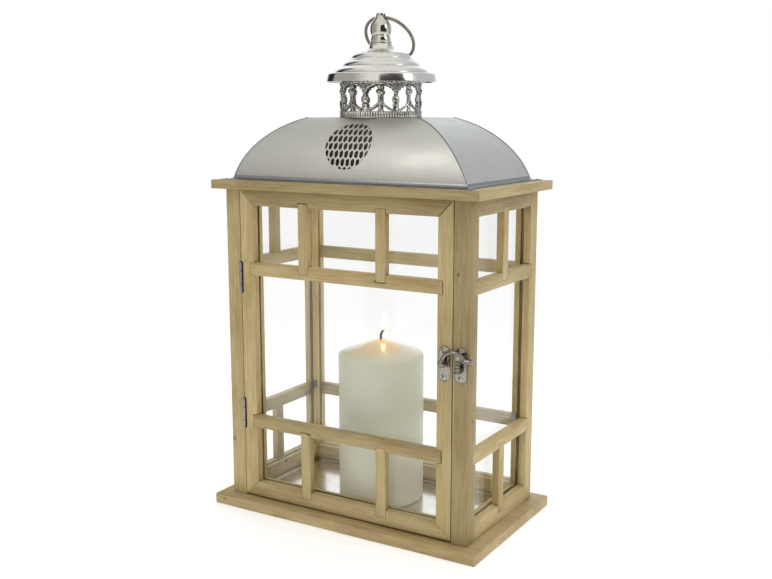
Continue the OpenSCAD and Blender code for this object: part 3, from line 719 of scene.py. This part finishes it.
def make_spindle(build, angle, stand):
    """Banded spindle with a knot, on two rope legs and between two thin leaves."""
    spindle = [(0, 5.4), (2.5, 5.4), (2.5, 6.2), (1.7, 6.9), (1.6, 8.6), (2.2, 9.2), (1.6, 9.8), (1.7, 12.0),
               (2.4, 12.6), (2.5, 13.6), (1.9, 14.2), (2.3, 15.2), (1.8, 16.0), (2.3, 17.0), (1.8, 17.8),
               (2.2, 18.8), (1.9, 19.6), (2.6, 20.4), (3.5, 21.6), (3.7, 22.8), (3.0, 24.0), (2.1, 24.7),
               (2.6, 25.6), (3.1, 26.8), (2.4, 28.0), (2.4, 30.0), (0, 30.0)]
    build.lathe(spindle, stand, 18)
    for side in (-1, 1):
        line = []
        for k in range(17):
            t = k / 16
            swing = side * PITCH * (0.06 + 0.74 * t**1.5)
            line.append(on_collar(angle + swing, 14.6 - 8.4 * t**0.8, 36.0))
        build.tube(line, 0.95, 9, lobes=3, twist=0.55, up=outward, flat=0.8)
        line = []
        for k in range(5):
            swing = side * PITCH * (0.10 + 0.09 * sin(k / 4 * pi))
            line.append(on_collar(angle + swing, 21.0 + k * 0.85, 36.1))
        build.tube(line, lambda t: 0.35 + 0.65 * sin(pi * min(max(t, 0.1), 0.9)), 7, up=outward)


def make_collar():
    def rib(angle, height):
        return 0.3 * cos(FLUTES * angle) if 0.5 < height - COLLAR_Z < 5.1 else 0.0

    build = Build()
    foot = [(35.1, 0.0), (36.45, 0.0), (36.55, 0.6), (36.2, 1.0), (36.25, 4.6), (36.6, 5.0), (36.5, 5.6),
            (35.1, 5.6)]
    build.lathe(raised(foot, COLLAR_Z), sides=FLUTES * 4, wave=rib, close_round=True)
    head = [(35.0, 29.2), (36.3, 29.2), (36.6, 30.0), (36.6, 39.5), (35.0, 39.5)]
    build.lathe(raised(head, COLLAR_Z), sides=96, close_round=True)
    thin = Matrix.Diagonal((0.46, 1.0, 1.0, 1.0))
    for i in range(16):
        angle = radians(7.8) + i * PITCH
        stand = Matrix.Translation(on_collar(angle, 0.0, 35.1)) @ Matrix.Rotation(angle, 4, "Z") @ thin
        if i % 2 == 0:
            make_fan(build, angle, stand)
        else:
            make_spindle(build, angle, stand)
    build.object("collar_filigree", [COLLAR], "frame", "nickel", ["collar"], sharp=50)


def make_cap():
    outer = smooth([(49.0, -0.05), (49.9, 0.0), (50.0, 0.5), (49.75, 2.6), (49.0, 6.2), (48.6, 6.9)], 3)
    outer += smooth([(48.2, 7.2), (47.0, 7.45), (44.4, 7.55), (43.3, 7.75)], 3)
    steps = [(42.7, 7.9), (35.4, 13.8), (27.6, 20.6)]
    ends = [(35.9, 13.6), (28.1, 20.4), (22.6, 25.3)]
    for (r, z), (er, ez) in zip(steps, ends):
        outer += smooth([(r, z), (r - 0.35, z + 0.9), (r - 1.15, z + 2.2), (r - 2.5, z + 3.5),
                         (r - 4.2, z + 4.5), (er + 1.2, ez - 0.35), (er + 0.1, ez)], 4)
    outer += smooth([(22.2, 25.5), (20.0, 26.0), (17.2, 26.5), (14.8, 27.3), (12.7, 28.7), (11.2, 30.6),
                     (10.3, 32.2), (9.8, 33.45)], 3)
    inner = [(2.0, 33.4), (2.0, 25.6), (12, 25.0), (26, 16.9), (34, 10.9), (34, 8.9), (37.0, 8.9),
             (37.0, 6.2), (46.8, 6.2), (47.9, 5.6)]
    build = Build()
    build.lathe(raised(outer + inner, CAP_Z), sides=160, close_round=True)
    build.object("cap_spun", [CAP], "frame", "cap_steel", ["cap"], sharp=30)


def make_finial():
    body = smooth([(8.6, 0.0), (9.5, 0.35), (9.8, 1.1), (9.5, 1.9), (8.9, 2.5)], 3)
    body += smooth([(8.95, 2.6), (8.9, 4.0), (8.6, 5.6), (8.25, 6.4), (8.15, 6.9)], 3)
    body += smooth([(8.35, 7.0), (8.9, 7.9), (9.45, 10.4), (9.55, 13.0), (9.1, 15.8), (8.0, 18.2),
                    (6.5, 20.4), (5.1, 22.2), (4.35, 23.5)], 4)
    body += smooth([(4.25, 23.7), (4.15, 24.2), (4.15, 25.7), (3.9, 26.15), (3.2, 26.3)], 3)
    build = Build()
    build.lathe([(0, 0.0)] + body + [(0, 26.3)], Matrix.Translation((0, 0, FINIAL_Z)), 72)
    made = build.object("finial_turned", [FINIAL], "frame", "nickel", ["finial"], sharp=30)
    # The eye is bored through it, and widens towards both sides
    hole = Build()
    side = Matrix.Translation((0, 0, EYE_Z)) @ Matrix.Rotation(pi / 2, 4, "Y")
    bore = [(0, -16), (4.2, -16), (3.95, -8), (2.15, -3), (2.15, 3), (3.95, 8), (4.2, 16), (0, 16)]
    hole.lathe(bore, side, 32)
    cutter = hole.object("cutter", [FINIAL], "frame", "nickel")
    bored = made.modifiers.new("bore", "BOOLEAN")
    bored.operation = "DIFFERENCE"
    bored.solver = "EXACT"
    bored.object = cutter
    bpy.context.view_layer.update()
    mesh = bpy.data.meshes.new_from_object(made.evaluated_get(bpy.context.evaluated_depsgraph_get()))
    made.modifiers.clear()
    made.data = mesh
    bpy.data.objects.remove(cutter)


def make_ring():
    lean = Matrix.Translation((0, 0, EYE_Z)) @ Matrix.Rotation(radians(41), 4, "X")
    # A circle that hangs from the eye
    path = [lean @ Vector((y, 0, x - RING_R)) for x, y in circle(RING_R, 120)]
    build = Build()
    build.tube(path, 1.45, 16, closed=True, up=lean.to_3x3() @ Vector((0, 1, 0)))
    build.object("ring_wire", [RING], "ring", "nickel", ["hanging_ring"])


# ---- latch, candle, flame

LATCH_Z, PIVOT_Z = 165.5, 166.8
MELT_Z, GLOW_Z = 149.9, 163.0
HINGE_X, HINGE_Y = -109.6, -67.8
HINGE_FEET = {"lower": 76.5, "upper": 206.0}
DOOR_X, POST_X = 102.2, 117.5
FACE_Y, PLATE_Y, ARM_Y = -67.0, -69.0, -72.2
# Two ends of each gap in the door's face, as (x, z), and its width
JOINT_GAPS = [
    ((-45.6, 290.9), (-34.6, 291.0), 0.9),
    ((34.6, 227.9), (45.4, 227.8), 1.0),
    ((34.6, 227.9), (35.0, 230.0), 1.3),
    ((100.0, 223.4), (99.9, 234.6), 0.8),
    ((100.1, 78.9), (100.0, 90.2), 1.3),
    ((-46.0, 82.1), (-39.5, 81.8), 0.8),
    ((-39.5, 81.8), (-34.2, 81.0), 1.2),
    ((-100.0, 90.7), (-94.8, 91.0), 0.6),
    ((95.4, 286.9), (109.0, 300.5), 0.6),
]


def facing(x, y, z):
    """A matrix that turns +Z towards the front, -Y, and stands at a point."""
    return Matrix.Translation((x, y, z)) @ Matrix.Rotation(pi / 2, 4, "X")


def racetrack(width, length, steps=14):
    """Outline of a plate with round ends."""
    r = width / 2
    out = []
    for end, start in ((1, 0.0), (-1, pi)):
        for k in range(steps + 1):
            a = start + pi * k / steps
            out.append((r * cos(a), end * (length / 2 - r) + r * sin(a)))
    return out


def make_plate(name, x, body, replaced):
    build = Build()
    at = facing(x, FACE_Y, LATCH_Z)
    build.plate(racetrack(11.0, 30.0), 0.0, 1.35, 0.6, at)
    build.plate(racetrack(8.6, 27.6), 1.3, 2.0, 0.65, at)
    build.object(name, [LATCH], body, "latch_nickel", [replaced], sharp=30)


def cross_head(build, at, radius, height):
    """A domed head whose middle sinks into a crossed slot."""
    sides, loops, depth = 48, 9, 0.8
    rings = [build.points([(x, y, -0.2) for x, y in circle(radius, sides)], at)]
    for k in range(loops + 1):
        share = 1.0 - k / (loops + 0.6)
        dome = height * (1.0 - share**3.2 * 0.75)
        ring = []
        for x, y in circle(radius * share, sides):
            slotted = min(abs(x), abs(y)) < radius * 0.17 and share < 0.66
            ring.append((x, y, dome - depth if slotted else dome))
        rings.append(build.points(ring, at))
    rings.append(build.points([(0, 0, height - depth)], at))
    build.rings(rings)


def make_plate_screws(name, x, body, replaced):
    build = Build()
    for side in (-1, 1):
        turn = Matrix.Rotation(radians(24 if side > 0 else 61), 4, "Z")
        cross_head(build, facing(x, PLATE_Y, LATCH_Z + side * 10.4) @ turn, 2.3, 0.75)
    build.object(name, [LATCH_LIT], body, "latch_nickel", [replaced], sharp=35)


def make_latch():
    make_plate("latch_door_plate", DOOR_X, "door", "latch_plate")
    make_plate("latch_post_plate", POST_X, "frame", "catch_plate")
    make_plate_screws("latch_door_screws", DOOR_X, "door", "latch_screws")
    make_plate_screws("latch_post_screws", POST_X, "frame", "catch_screws")
    # Rivet with a domed head
    build = Build()
    rivet = [(0, 0.0), (1.9, 0.0), (1.9, 7.2), (2.9, 7.25), (2.95, 7.6), (2.6, 8.05), (1.9, 8.35),
             (1.0, 8.5), (0, 8.55)]
    build.lathe(rivet, facing(DOOR_X, FACE_Y, PIVOT_Z), 32)
    build.object("latch_rivet", [LATCH_SHADED], "door", "latch_nickel", ["latch_pivot"], sharp=30)
    # Arm: hub, arch and grip
    arm = Build()
    hub = [(1.98, 2.35), (3.3, 2.35), (3.45, 2.7), (3.3, 3.2), (3.0, 3.6), (3.0, 5.6), (3.35, 6.1),
           (3.4, 6.7), (3.1, 7.1), (1.98, 7.1)]
    arm.lathe(hub, facing(DOOR_X, FACE_Y, PIVOT_Z), 36, close_round=True)
    reach = 10.6
    line = []
    for k in range(31):
        a = radians(178 - (178 - 26) * k / 30)
        line.append((DOOR_X + reach + reach * cos(a), ARM_Y, PIVOT_Z + reach * sin(a)))
    arm.tube(line, lambda t: 1.95 - 0.25 * sin(pi * t), 14, up=(0, 1, 0))
    grip = smooth([(0, 0.0), (1.5, 0.0), (2.1, 0.25), (2.35, 0.8), (2.2, 1.3)], 3)
    grip += smooth([(2.3, 1.5), (2.5, 2.1), (2.5, 6.4), (2.45, 7.0), (2.5, 7.4), (2.45, 8.2), (2.15, 8.6),
                    (1.4, 8.75), (0, 8.8)], 3)
    tip = Matrix.Translation((DOOR_X + 19.2, ARM_Y, PIVOT_Z + 4.3))
    arm.lathe(grip, tip @ Matrix.Rotation(pi / 2, 4, "Y"), 32)
    arm.object("latch_hook", [LATCH_SHADED], "latch", "latch_nickel", ["latch_arm"], sharp=32)
    # Turned stud on a short stem
    stud = Build()
    stem = facing(POST_X, FACE_Y, LATCH_Z - 3.0)
    stud.lathe([(0, 0), (1.45, 0), (1.45, 6.3), (0, 6.3)], stem, 20)
    stud.lathe([(1.5, 1.9), (2.6, 1.95), (2.7, 2.3), (2.2, 2.6), (1.5, 2.65)], stem, 24, close_ends=False)
    turned = smooth([(0, 0.0), (1.6, 0.05), (2.7, 0.4), (3.3, 0.9), (2.9, 1.5), (2.4, 2.0), (2.3, 3.0),
                     (2.7, 3.8), (2.6, 4.4), (2.1, 4.9), (1.95, 5.8), (2.0, 6.8), (1.4, 7.5), (1.25, 7.9),
                     (1.6, 8.5), (2.05, 9.2), (1.9, 10.1), (1.2, 10.9), (0, 11.15)], 3)
    stud.lathe(turned, Matrix.Translation((POST_X, PLATE_Y - 4.3, LATCH_Z - 5.2)), 32)
    stud.object("latch_stud", [LATCH_SHADED], "frame", "latch_nickel", ["catch_stud"], sharp=35)


def make_hinges():
    """Two slim butt hinges: two knuckles of the post's leaf, and the door leaf's between them."""
    pins = Build()
    rod = [(0, 0), (0.9, 0), (0.9, 27.9), (1.35, 28.0), (1.35, 28.35), (1.0, 28.65), (0, 28.7)]
    for level, foot in HINGE_FEET.items():
        at = Matrix.Translation((HINGE_X, HINGE_Y, foot))
        pins.lathe(rod, at, 24)
        for side, body, leaf in ((-1, "frame", "frame_leaf"), (1, "door", "door_leaf")):
            build = Build()
            x0, x1 = sorted((side * 0.48, side * 1.4))
            for low, high, owner in ((0, 8, -1), (8, 20, 1), (20, 28, -1)):
                front = 0.0 if owner == side else 1.9
                build.plate([(x0, front), (x1, front), (x1, 10.8), (x0, 10.8)], low, high, 0.02, at)
                if owner == side:
                    knuckle = [(0, low + 0.08), (1.2, low + 0.08), (1.45, low + 0.35), (1.45, high - 0.35),
                               (1.2, high - 0.08), (0, high - 0.08)]
                    build.lathe(knuckle, at, 28)
            replaced = [f"{level}_hinge_{leaf}"]
            build.object(f"hinge_{level}_{leaf}", [HINGE], body, "hinge_steel", replaced, sharp=30)
    pins.object("hinge_rods", [HINGE], "frame", "hinge_steel", ["hinge_pins"], sharp=30)


def make_joint_gaps():
    """Open joints in the door's face: thin dark slivers of painted shade, none of them quite straight."""
    rnd = random.Random(23)
    build = Build()
    at = facing(0, FACE_Y, 0)
    for (x0, z0), (x1, z1), width in JOINT_GAPS:
        run = hypot(x1 - x0, z1 - z0)
        side = ((z0 - z1) / run, (x1 - x0) / run)
        upper, lower = [], []
        for k in range(9):
            t = k / 8
            x, z = x0 + (x1 - x0) * t, z0 + (z1 - z0) * t
            half = width / 2 * rnd.uniform(0.35, 1.0) * (0.4 if k in (0, 8) else 1.0)
            upper.append((x + side[0] * half, z + side[1] * half))
            lower.append((x - side[0] * half, z - side[1] * half))
        build.plate(lower + upper[::-1], -0.4, 0.06, 0.02, at)
    build.object("door_joint_gaps", [SEAM], "door", "wood")


def seam_shadow():
    s = Shade("seam_shadow")
    spot = s.noise(s.place(), 1.6, 3.0, 0.6)
    return s.principled(Base_Color=s.mix(spot, lin(26, 17, 10), lin(70, 48, 28)), Roughness=0.9)


def make_candle():
    rnd = random.Random(5)
    phases = [rnd.uniform(0, 6.28) for _ in range(2)]

    def uneven(angle, height):
        return 0.12 * sin(3 * angle + phases[0] + height * 0.03) + 0.07 * sin(7 * angle + phases[1])

    profile = [(0, 0.0), (38.2, 0.0), (39.4, 0.4), (39.8, 1.3)]
    profile += [(39.78, 1.3 + 4.0 * k) for k in range(1, 34)]
    profile += smooth([(39.8, 135.4), (39.75, 136.9), (39.3, 138.1), (38.2, 138.9), (36.4, 139.7)], 4)
    profile += smooth([(36.0, 139.85), (26.0, 143.6), (15.0, 147.7), (8.0, 150.1), (4.6, 151.1),
                       (3.0, 151.4), (1.6, 151.2), (1.2, 150.2), (1.2, 146.2)], 5)
    build = Build()
    build.lathe(raised(profile, TRAY_Z), sides=128, wave=uneven)
    for k, corners in enumerate(build.faces):
        build.slots[k] = int(min(build.verts[i].z for i in corners) > MELT_Z)
    build.object("candle_wax", [WAX, WAX_TOP], "candle", "wax", ["candle"], sharp=60)
    line = smooth([(0, 0, 156.6), (-0.1, 0, 161.5), (-0.2, 0, 165.0), (0.3, 0.2, 167.4), (1.4, 0.7, 169.4),
                   (2.8, 1.6, 171.0), (4.0, 2.4, 171.9)], 5)
    build = Build()
    build.tube(line, lambda t: 1.0 if t < 0.85 else 1.0 - 2.6 * (t - 0.85), 12, lobes=3, twist=0.5)
    build.object("candle_wick", [WICK], "candle", "wick", ["wick"], sharp=60)
    build = Build()
    flame = smooth([(0, 0.0), (1.6, 1.2), (2.7, 4.2), (2.9, 7.4), (2.3, 11.6), (1.3, 16.0), (0.45, 19.6),
                    (0, 21.2)], 4)
    build.lathe(flame, Matrix.Translation((2.6, 1.4, 168.2)), 28)
    made = build.object("candle_flame", [FLAME], "candle", "wick", sharp=80)
    made.visible_shadow = False


def wax(name, coat, coat_rough):
    """Wax that is melted around the flame, with painted firelight there: an orange tint and a painted glow;
    paler towards its foot, with a faint painted glow.
    """
    s = Shade(name)
    mm = s.place()
    cloud = s.noise(mm, 0.05, 3.0, 0.6)
    fine = s.noise(mm, 1.4, 3.0, 0.6)
    away = s.length(s.vec("SUBTRACT", mm, (0, 0, GLOW_Z)))
    foot = s.span(s.part(mm, Z), 12.0, 95.0, 1.0, 0.0)
    colour = s.mix(cloud, lin(206, 206, 184), lin(218, 217, 198))
    # Painted firelight: the wax turns orange towards the flame
    colour = s.mix(s.span(away, 4.0, 44.0, 0.72, 0.0), colour, lin(230, 186, 128))
    colour = s.mix(s.times(foot, 0.5), colour, lin(236, 236, 224))
    # Painted glow: the wax gives out light near the flame, and faintly towards its foot
    glow = s.plus(s.span(away, 1.0, 16.0, 0.2, 0.0), s.span(away, 6.0, 48.0, 0.08, 0.0))
    glow = s.plus(glow, s.times(foot, 0.03))
    melted = s.span(away, 20.0, 40.0, -0.16, 0.0)
    height = s.plus(s.times(cloud, 2.0), s.times(fine, 0.15))
    return s.principled(
        Base_Color=colour, Roughness=s.plus(s.span(fine, 0.3, 0.7, 0.36, 0.46), melted),
        Subsurface_Weight=0.55, Subsurface_Radius=(0.012, 0.008, 0.005), Subsurface_Scale=1.0,
        Coat_Weight=coat, Coat_Roughness=coat_rough, Emission_Color=lin(255, 205, 120),
        Emission_Strength=glow, Normal=s.bump(height, 0.12, 0.0004),
    )


def flame_glow():
    s = Shade("flame_glow")
    z = s.part(s.place(), Z)
    foot = s.span(z, 171.0, 176.0, 0.02, 1.0)
    tip = s.span(z, 180.0, 188.5, 1.0, 0.1)
    colour = s.mix(s.span(z, 168.0, 184.0), lin(255, 232, 170), lin(255, 222, 150))
    glow = s.add("Emission", {"Color": colour, "Strength": 17.0})
    clear = s.add("BsdfTransparent", {"Color": WHITE})
    return s.finish(s.add("MixShader", {0: s.times(s.times(foot, tip), 0.62), 1: clear, 2: glow}))


def wick_char():
    """Waxed cotton at the foot, charred above it, with an ember at the tip."""
    s = Shade("wick_char")
    mm = s.place()
    z = s.part(mm, Z)
    fibre = s.noise(mm, 3.0, 3.0, 0.7)
    char = s.mix(fibre, lin(22, 19, 17), lin(52, 46, 42))
    return s.principled(
        Base_Color=s.mix(s.span(z, 160.0, 164.5), lin(120, 96, 66), char), Roughness=0.9,
        Emission_Color=lin(255, 150, 50), Emission_Strength=s.span(z, 169.9, 171.4, 0.0, 2.0),
        Normal=s.bump(fibre, 0.6, 0.0003),
    )


# ---- finishes

STEEL = lin(208, 208, 201)
ROOF_X = metal("roof_steel_long", STEEL, 0.42, X, 1.5, spread=0.05, bump=0.06, stretch=0.5,
               metallic=0.8)
ROOF_Y = metal("roof_steel_end", STEEL, 0.42, Y, 1.5, spread=0.05, bump=0.06, stretch=0.5)
# Its dark brown is painted shade and a painted reflection of the wood below, not the steel's own colour
ROOF_IN = dull_metal("roof_steel_inside", lin(104, 92, 80))
# A darker copy of the roof's steel: painted shade for the band under the eaves; the hips use it too
BAND_SHADED = metal("roof_steel_band_shaded", lin(150, 151, 152), 0.3, X, spread=0.05, grime_and_shade=0.35)
CAP = metal("cap_steel", lin(226, 224, 217), 0.17, brush_size=1.6, spread=0.04, turned=True, bump=0.05,
            grime_and_shade=0.3, stretch=0.75)
COLLAR = metal("collar_nickel", lin(222, 219, 211), 0.26, spread=0.08, grime_and_shade=0.85, bump=0.2, recess=collar_dark_marks)
FINIAL = metal("finial_nickel", lin(214, 210, 200), 0.1, brush_size=1.4, spread=0.03, turned=True,
               grime_and_shade=0.35)
RING = metal("ring_nickel", lin(150, 145, 132), 0.3, spread=0.08, grime_and_shade=0.4, pits=0.3)
CAST = {"spread": 0.05, "grime_and_shade": 0.95, "dirt": 0.05, "bump": 0.7}
LATCH = metal("latch_nickel", lin(168, 162, 151), 0.17, cast=6.0, **CAST)
# A darker copy of the latch's nickel: painted shade for the arm, the rivet and the stud
LATCH_SHADED = metal("nickel_shaded", lin(142, 135, 125), 0.15, cast=4.0, **CAST)
# A lighter copy of the latch's nickel: painted light for the screw heads
LATCH_LIT = metal("nickel_lit", lin(208, 202, 190), 0.16, spread=0.05, grime_and_shade=0.75, dirt=0.0)
HINGE = metal("hinge_steel", lin(158, 156, 152), 0.3, spread=0.1, grime_and_shade=0.85, pits=0.3, bump=0.2)
TRAY = metal("tray_galvanised", lin(232, 227, 216), 0.17, X, 0.9, spread=0.05, pits=0.06, bump=0.12,
             recess=tray_brown_marks, recess_colour=lin(166, 146, 104))
WAX, WAX_TOP = wax("candle_wax", 0.35, 0.2), wax("candle_melt", 0.6, 0.16)
FLAME, WICK = flame_glow(), wick_char()
SEAM = seam_shadow()


dress([n for n in NODES if "hinge" in n or n in ("roof_screws", "glass_clips")], HINGE)
dress([n for n in NODES if n.endswith("_glass")], clear_glass())
dress(["floor_tray"], TRAY)
dress(["finial_bolt"], FINIAL)
make_roof()
make_collar()
make_cap()
make_finial()
make_ring()
make_latch()
make_hinges()
make_joint_gaps()
make_candle()

# ---- camera, floor and light

AZIMUTH, ELEVATION = 31.1, 9.96
camera = bpy.data.objects.new("camera", bpy.data.cameras.new("camera"))
camera.data.sensor_width = 36.0
camera.data.lens = 47.64
camera.data.clip_start = 0.01
camera.data.clip_end = 50
camera.location = (0.4843, -0.7939, 0.3718)
camera.rotation_euler = (radians(90 - ELEVATION), 0.0, radians(AZIMUTH))
scene.collection.objects.link(camera)
scene.camera = camera
scene.view_settings.view_transform = "Standard"


def floor():
    """Pale round floor that fades to even white away from the object."""
    s = Shade("floor")
    place = s.add("TexCoord", out=3)
    away = s.length(s.scale(place, (1, 1, 0)))
    paint = s.mix(s.noise(place, 60.0, 3.0), (0.87, 0.87, 0.87, 1), (0.91, 0.91, 0.91, 1))
    matt = s.add("BsdfPrincipled", {"Base Color": paint, "Roughness": 0.7})
    lift = s.add("Emission", {"Color": WHITE, "Strength": 0.4})
    near = s.add("AddShader", {0: matt, 1: lift})
    white = s.add("Emission", {"Color": WHITE, "Strength": 1.0})
    s.finish(s.add("MixShader", {0: s.span(away, 0.35, 1.0), 1: near, 2: white}))
    mesh = bpy.data.meshes.new("floor")
    bm = bmesh.new()
    bmesh.ops.create_circle(bm, cap_ends=True, radius=1.5, segments=96)
    bm.to_mesh(mesh)
    bm.free()
    mesh.materials.append(s.owner)
    ground = bpy.data.objects.new("floor", mesh)
    scene.collection.objects.link(ground)


def world():
    """White behind the object; for everything that the object mirrors, a studio with gaps."""
    s = Shade("studio", "World")
    ray = s.add("TexCoord", out=0)
    x, y, z = (s.part(ray, axis) for axis in range(3))
    turn = s.math("DEGREES", s.math("ARCTAN2", y, x))
    rise = s.math("DEGREES", s.math("ARCSINE", z))

    def gap(low, high, soft):
        entered = s.span(turn, low - soft, low + soft)
        return s.times(entered, s.span(turn, high - soft, high + soft, 1.0, 0.0))

    # Dark gaps: beside the camera, and a tall one far to the left
    wide = s.span(rise, 25.0, 40.0, 34.0, 0.0)
    off = s.math("ABSOLUTE", s.plus(turn, 28.0))
    dark = s.span(s.math("SUBTRACT", off, wide), -3.0, 3.0, 1.0, 0.0)
    dark = s.times(dark, s.span(rise, 34.0, 40.0, 1.0, 0.0))
    side = s.math("MAXIMUM", gap(159.0, 200.0, 3.0), gap(-200.0, -172.5, 3.0))
    dark = s.math("MAXIMUM", dark, s.times(side, s.span(rise, 42.0, 66.0, 1.0, 0.0)))
    # Around the horizon, each step as (from, to, change of brightness)
    level = 0.46
    for low, high, change in ((-125.0, -78.0, 0.52), (12.0, 22.0, -0.28), (80.0, 115.0, 0.58),
                              (150.0, 178.0, -0.7)):
        level = s.plus(level, s.span(turn, low, high, 0.0, change))
    above = s.span(rise, 26.0, 68.0)
    level = s.plus(s.times(level, s.math("SUBTRACT", 1.0, above)), s.times(above, 0.97))
    level = s.times(level, s.span(dark, 0.0, 1.0, 1.0, 0.04))
    cool = s.mix(s.span(y, -0.3, 0.7), lin(255, 253, 248), lin(245, 249, 255))
    studio = s.add("Background", {"Color": cool, "Strength": level})
    white = s.add("Background", {"Color": WHITE, "Strength": 1.0})
    seen = s.add("LightPath", out=0)
    scene.world = s.finish(s.add("MixShader", {0: seen, 1: studio, 2: white}))


def softbox(name, at, aim, size, power, colour=(1, 1, 1)):
    data = bpy.data.lights.new(name, "AREA")
    data.shape = "RECTANGLE"
    data.size, data.size_y = size
    data.energy = power
    data.color = colour
    light = bpy.data.objects.new(name, data)
    light.location = at
    light.rotation_euler = (Vector(at) - Vector(aim)).to_track_quat("Z", "Y").to_euler()
    light.visible_camera = False
    scene.collection.objects.link(light)
    return light


floor()
world()
softbox("fill_right", (1.55, 0.0, 1.0), (0, 0, 0.2), (0.42, 0.62), 4.2)
softbox("fill_inside", (0, 0, 0.3), (0, 0, 0.1), (0.18, 0.09), 0.07, (1, 0.97, 0.88))
key = softbox("key_left", (-0.3, -0.82, 0.8), (0.07, -0.05, 0.33), (0.3, 0.3), 1.15, (1, 0.985, 0.965))
# It reaches the roof and the latch only: the cap and the finial would mirror it as a square
lit = bpy.data.collections.new("lit_by_key")
for name in ("roof_panels", "roof_band", "latch_hook", "latch_door_plate", "latch_post_plate",
             "latch_rivet"):
    lit.objects.link(bpy.data.objects[name])
key.light_linking.receiver_collection = lit
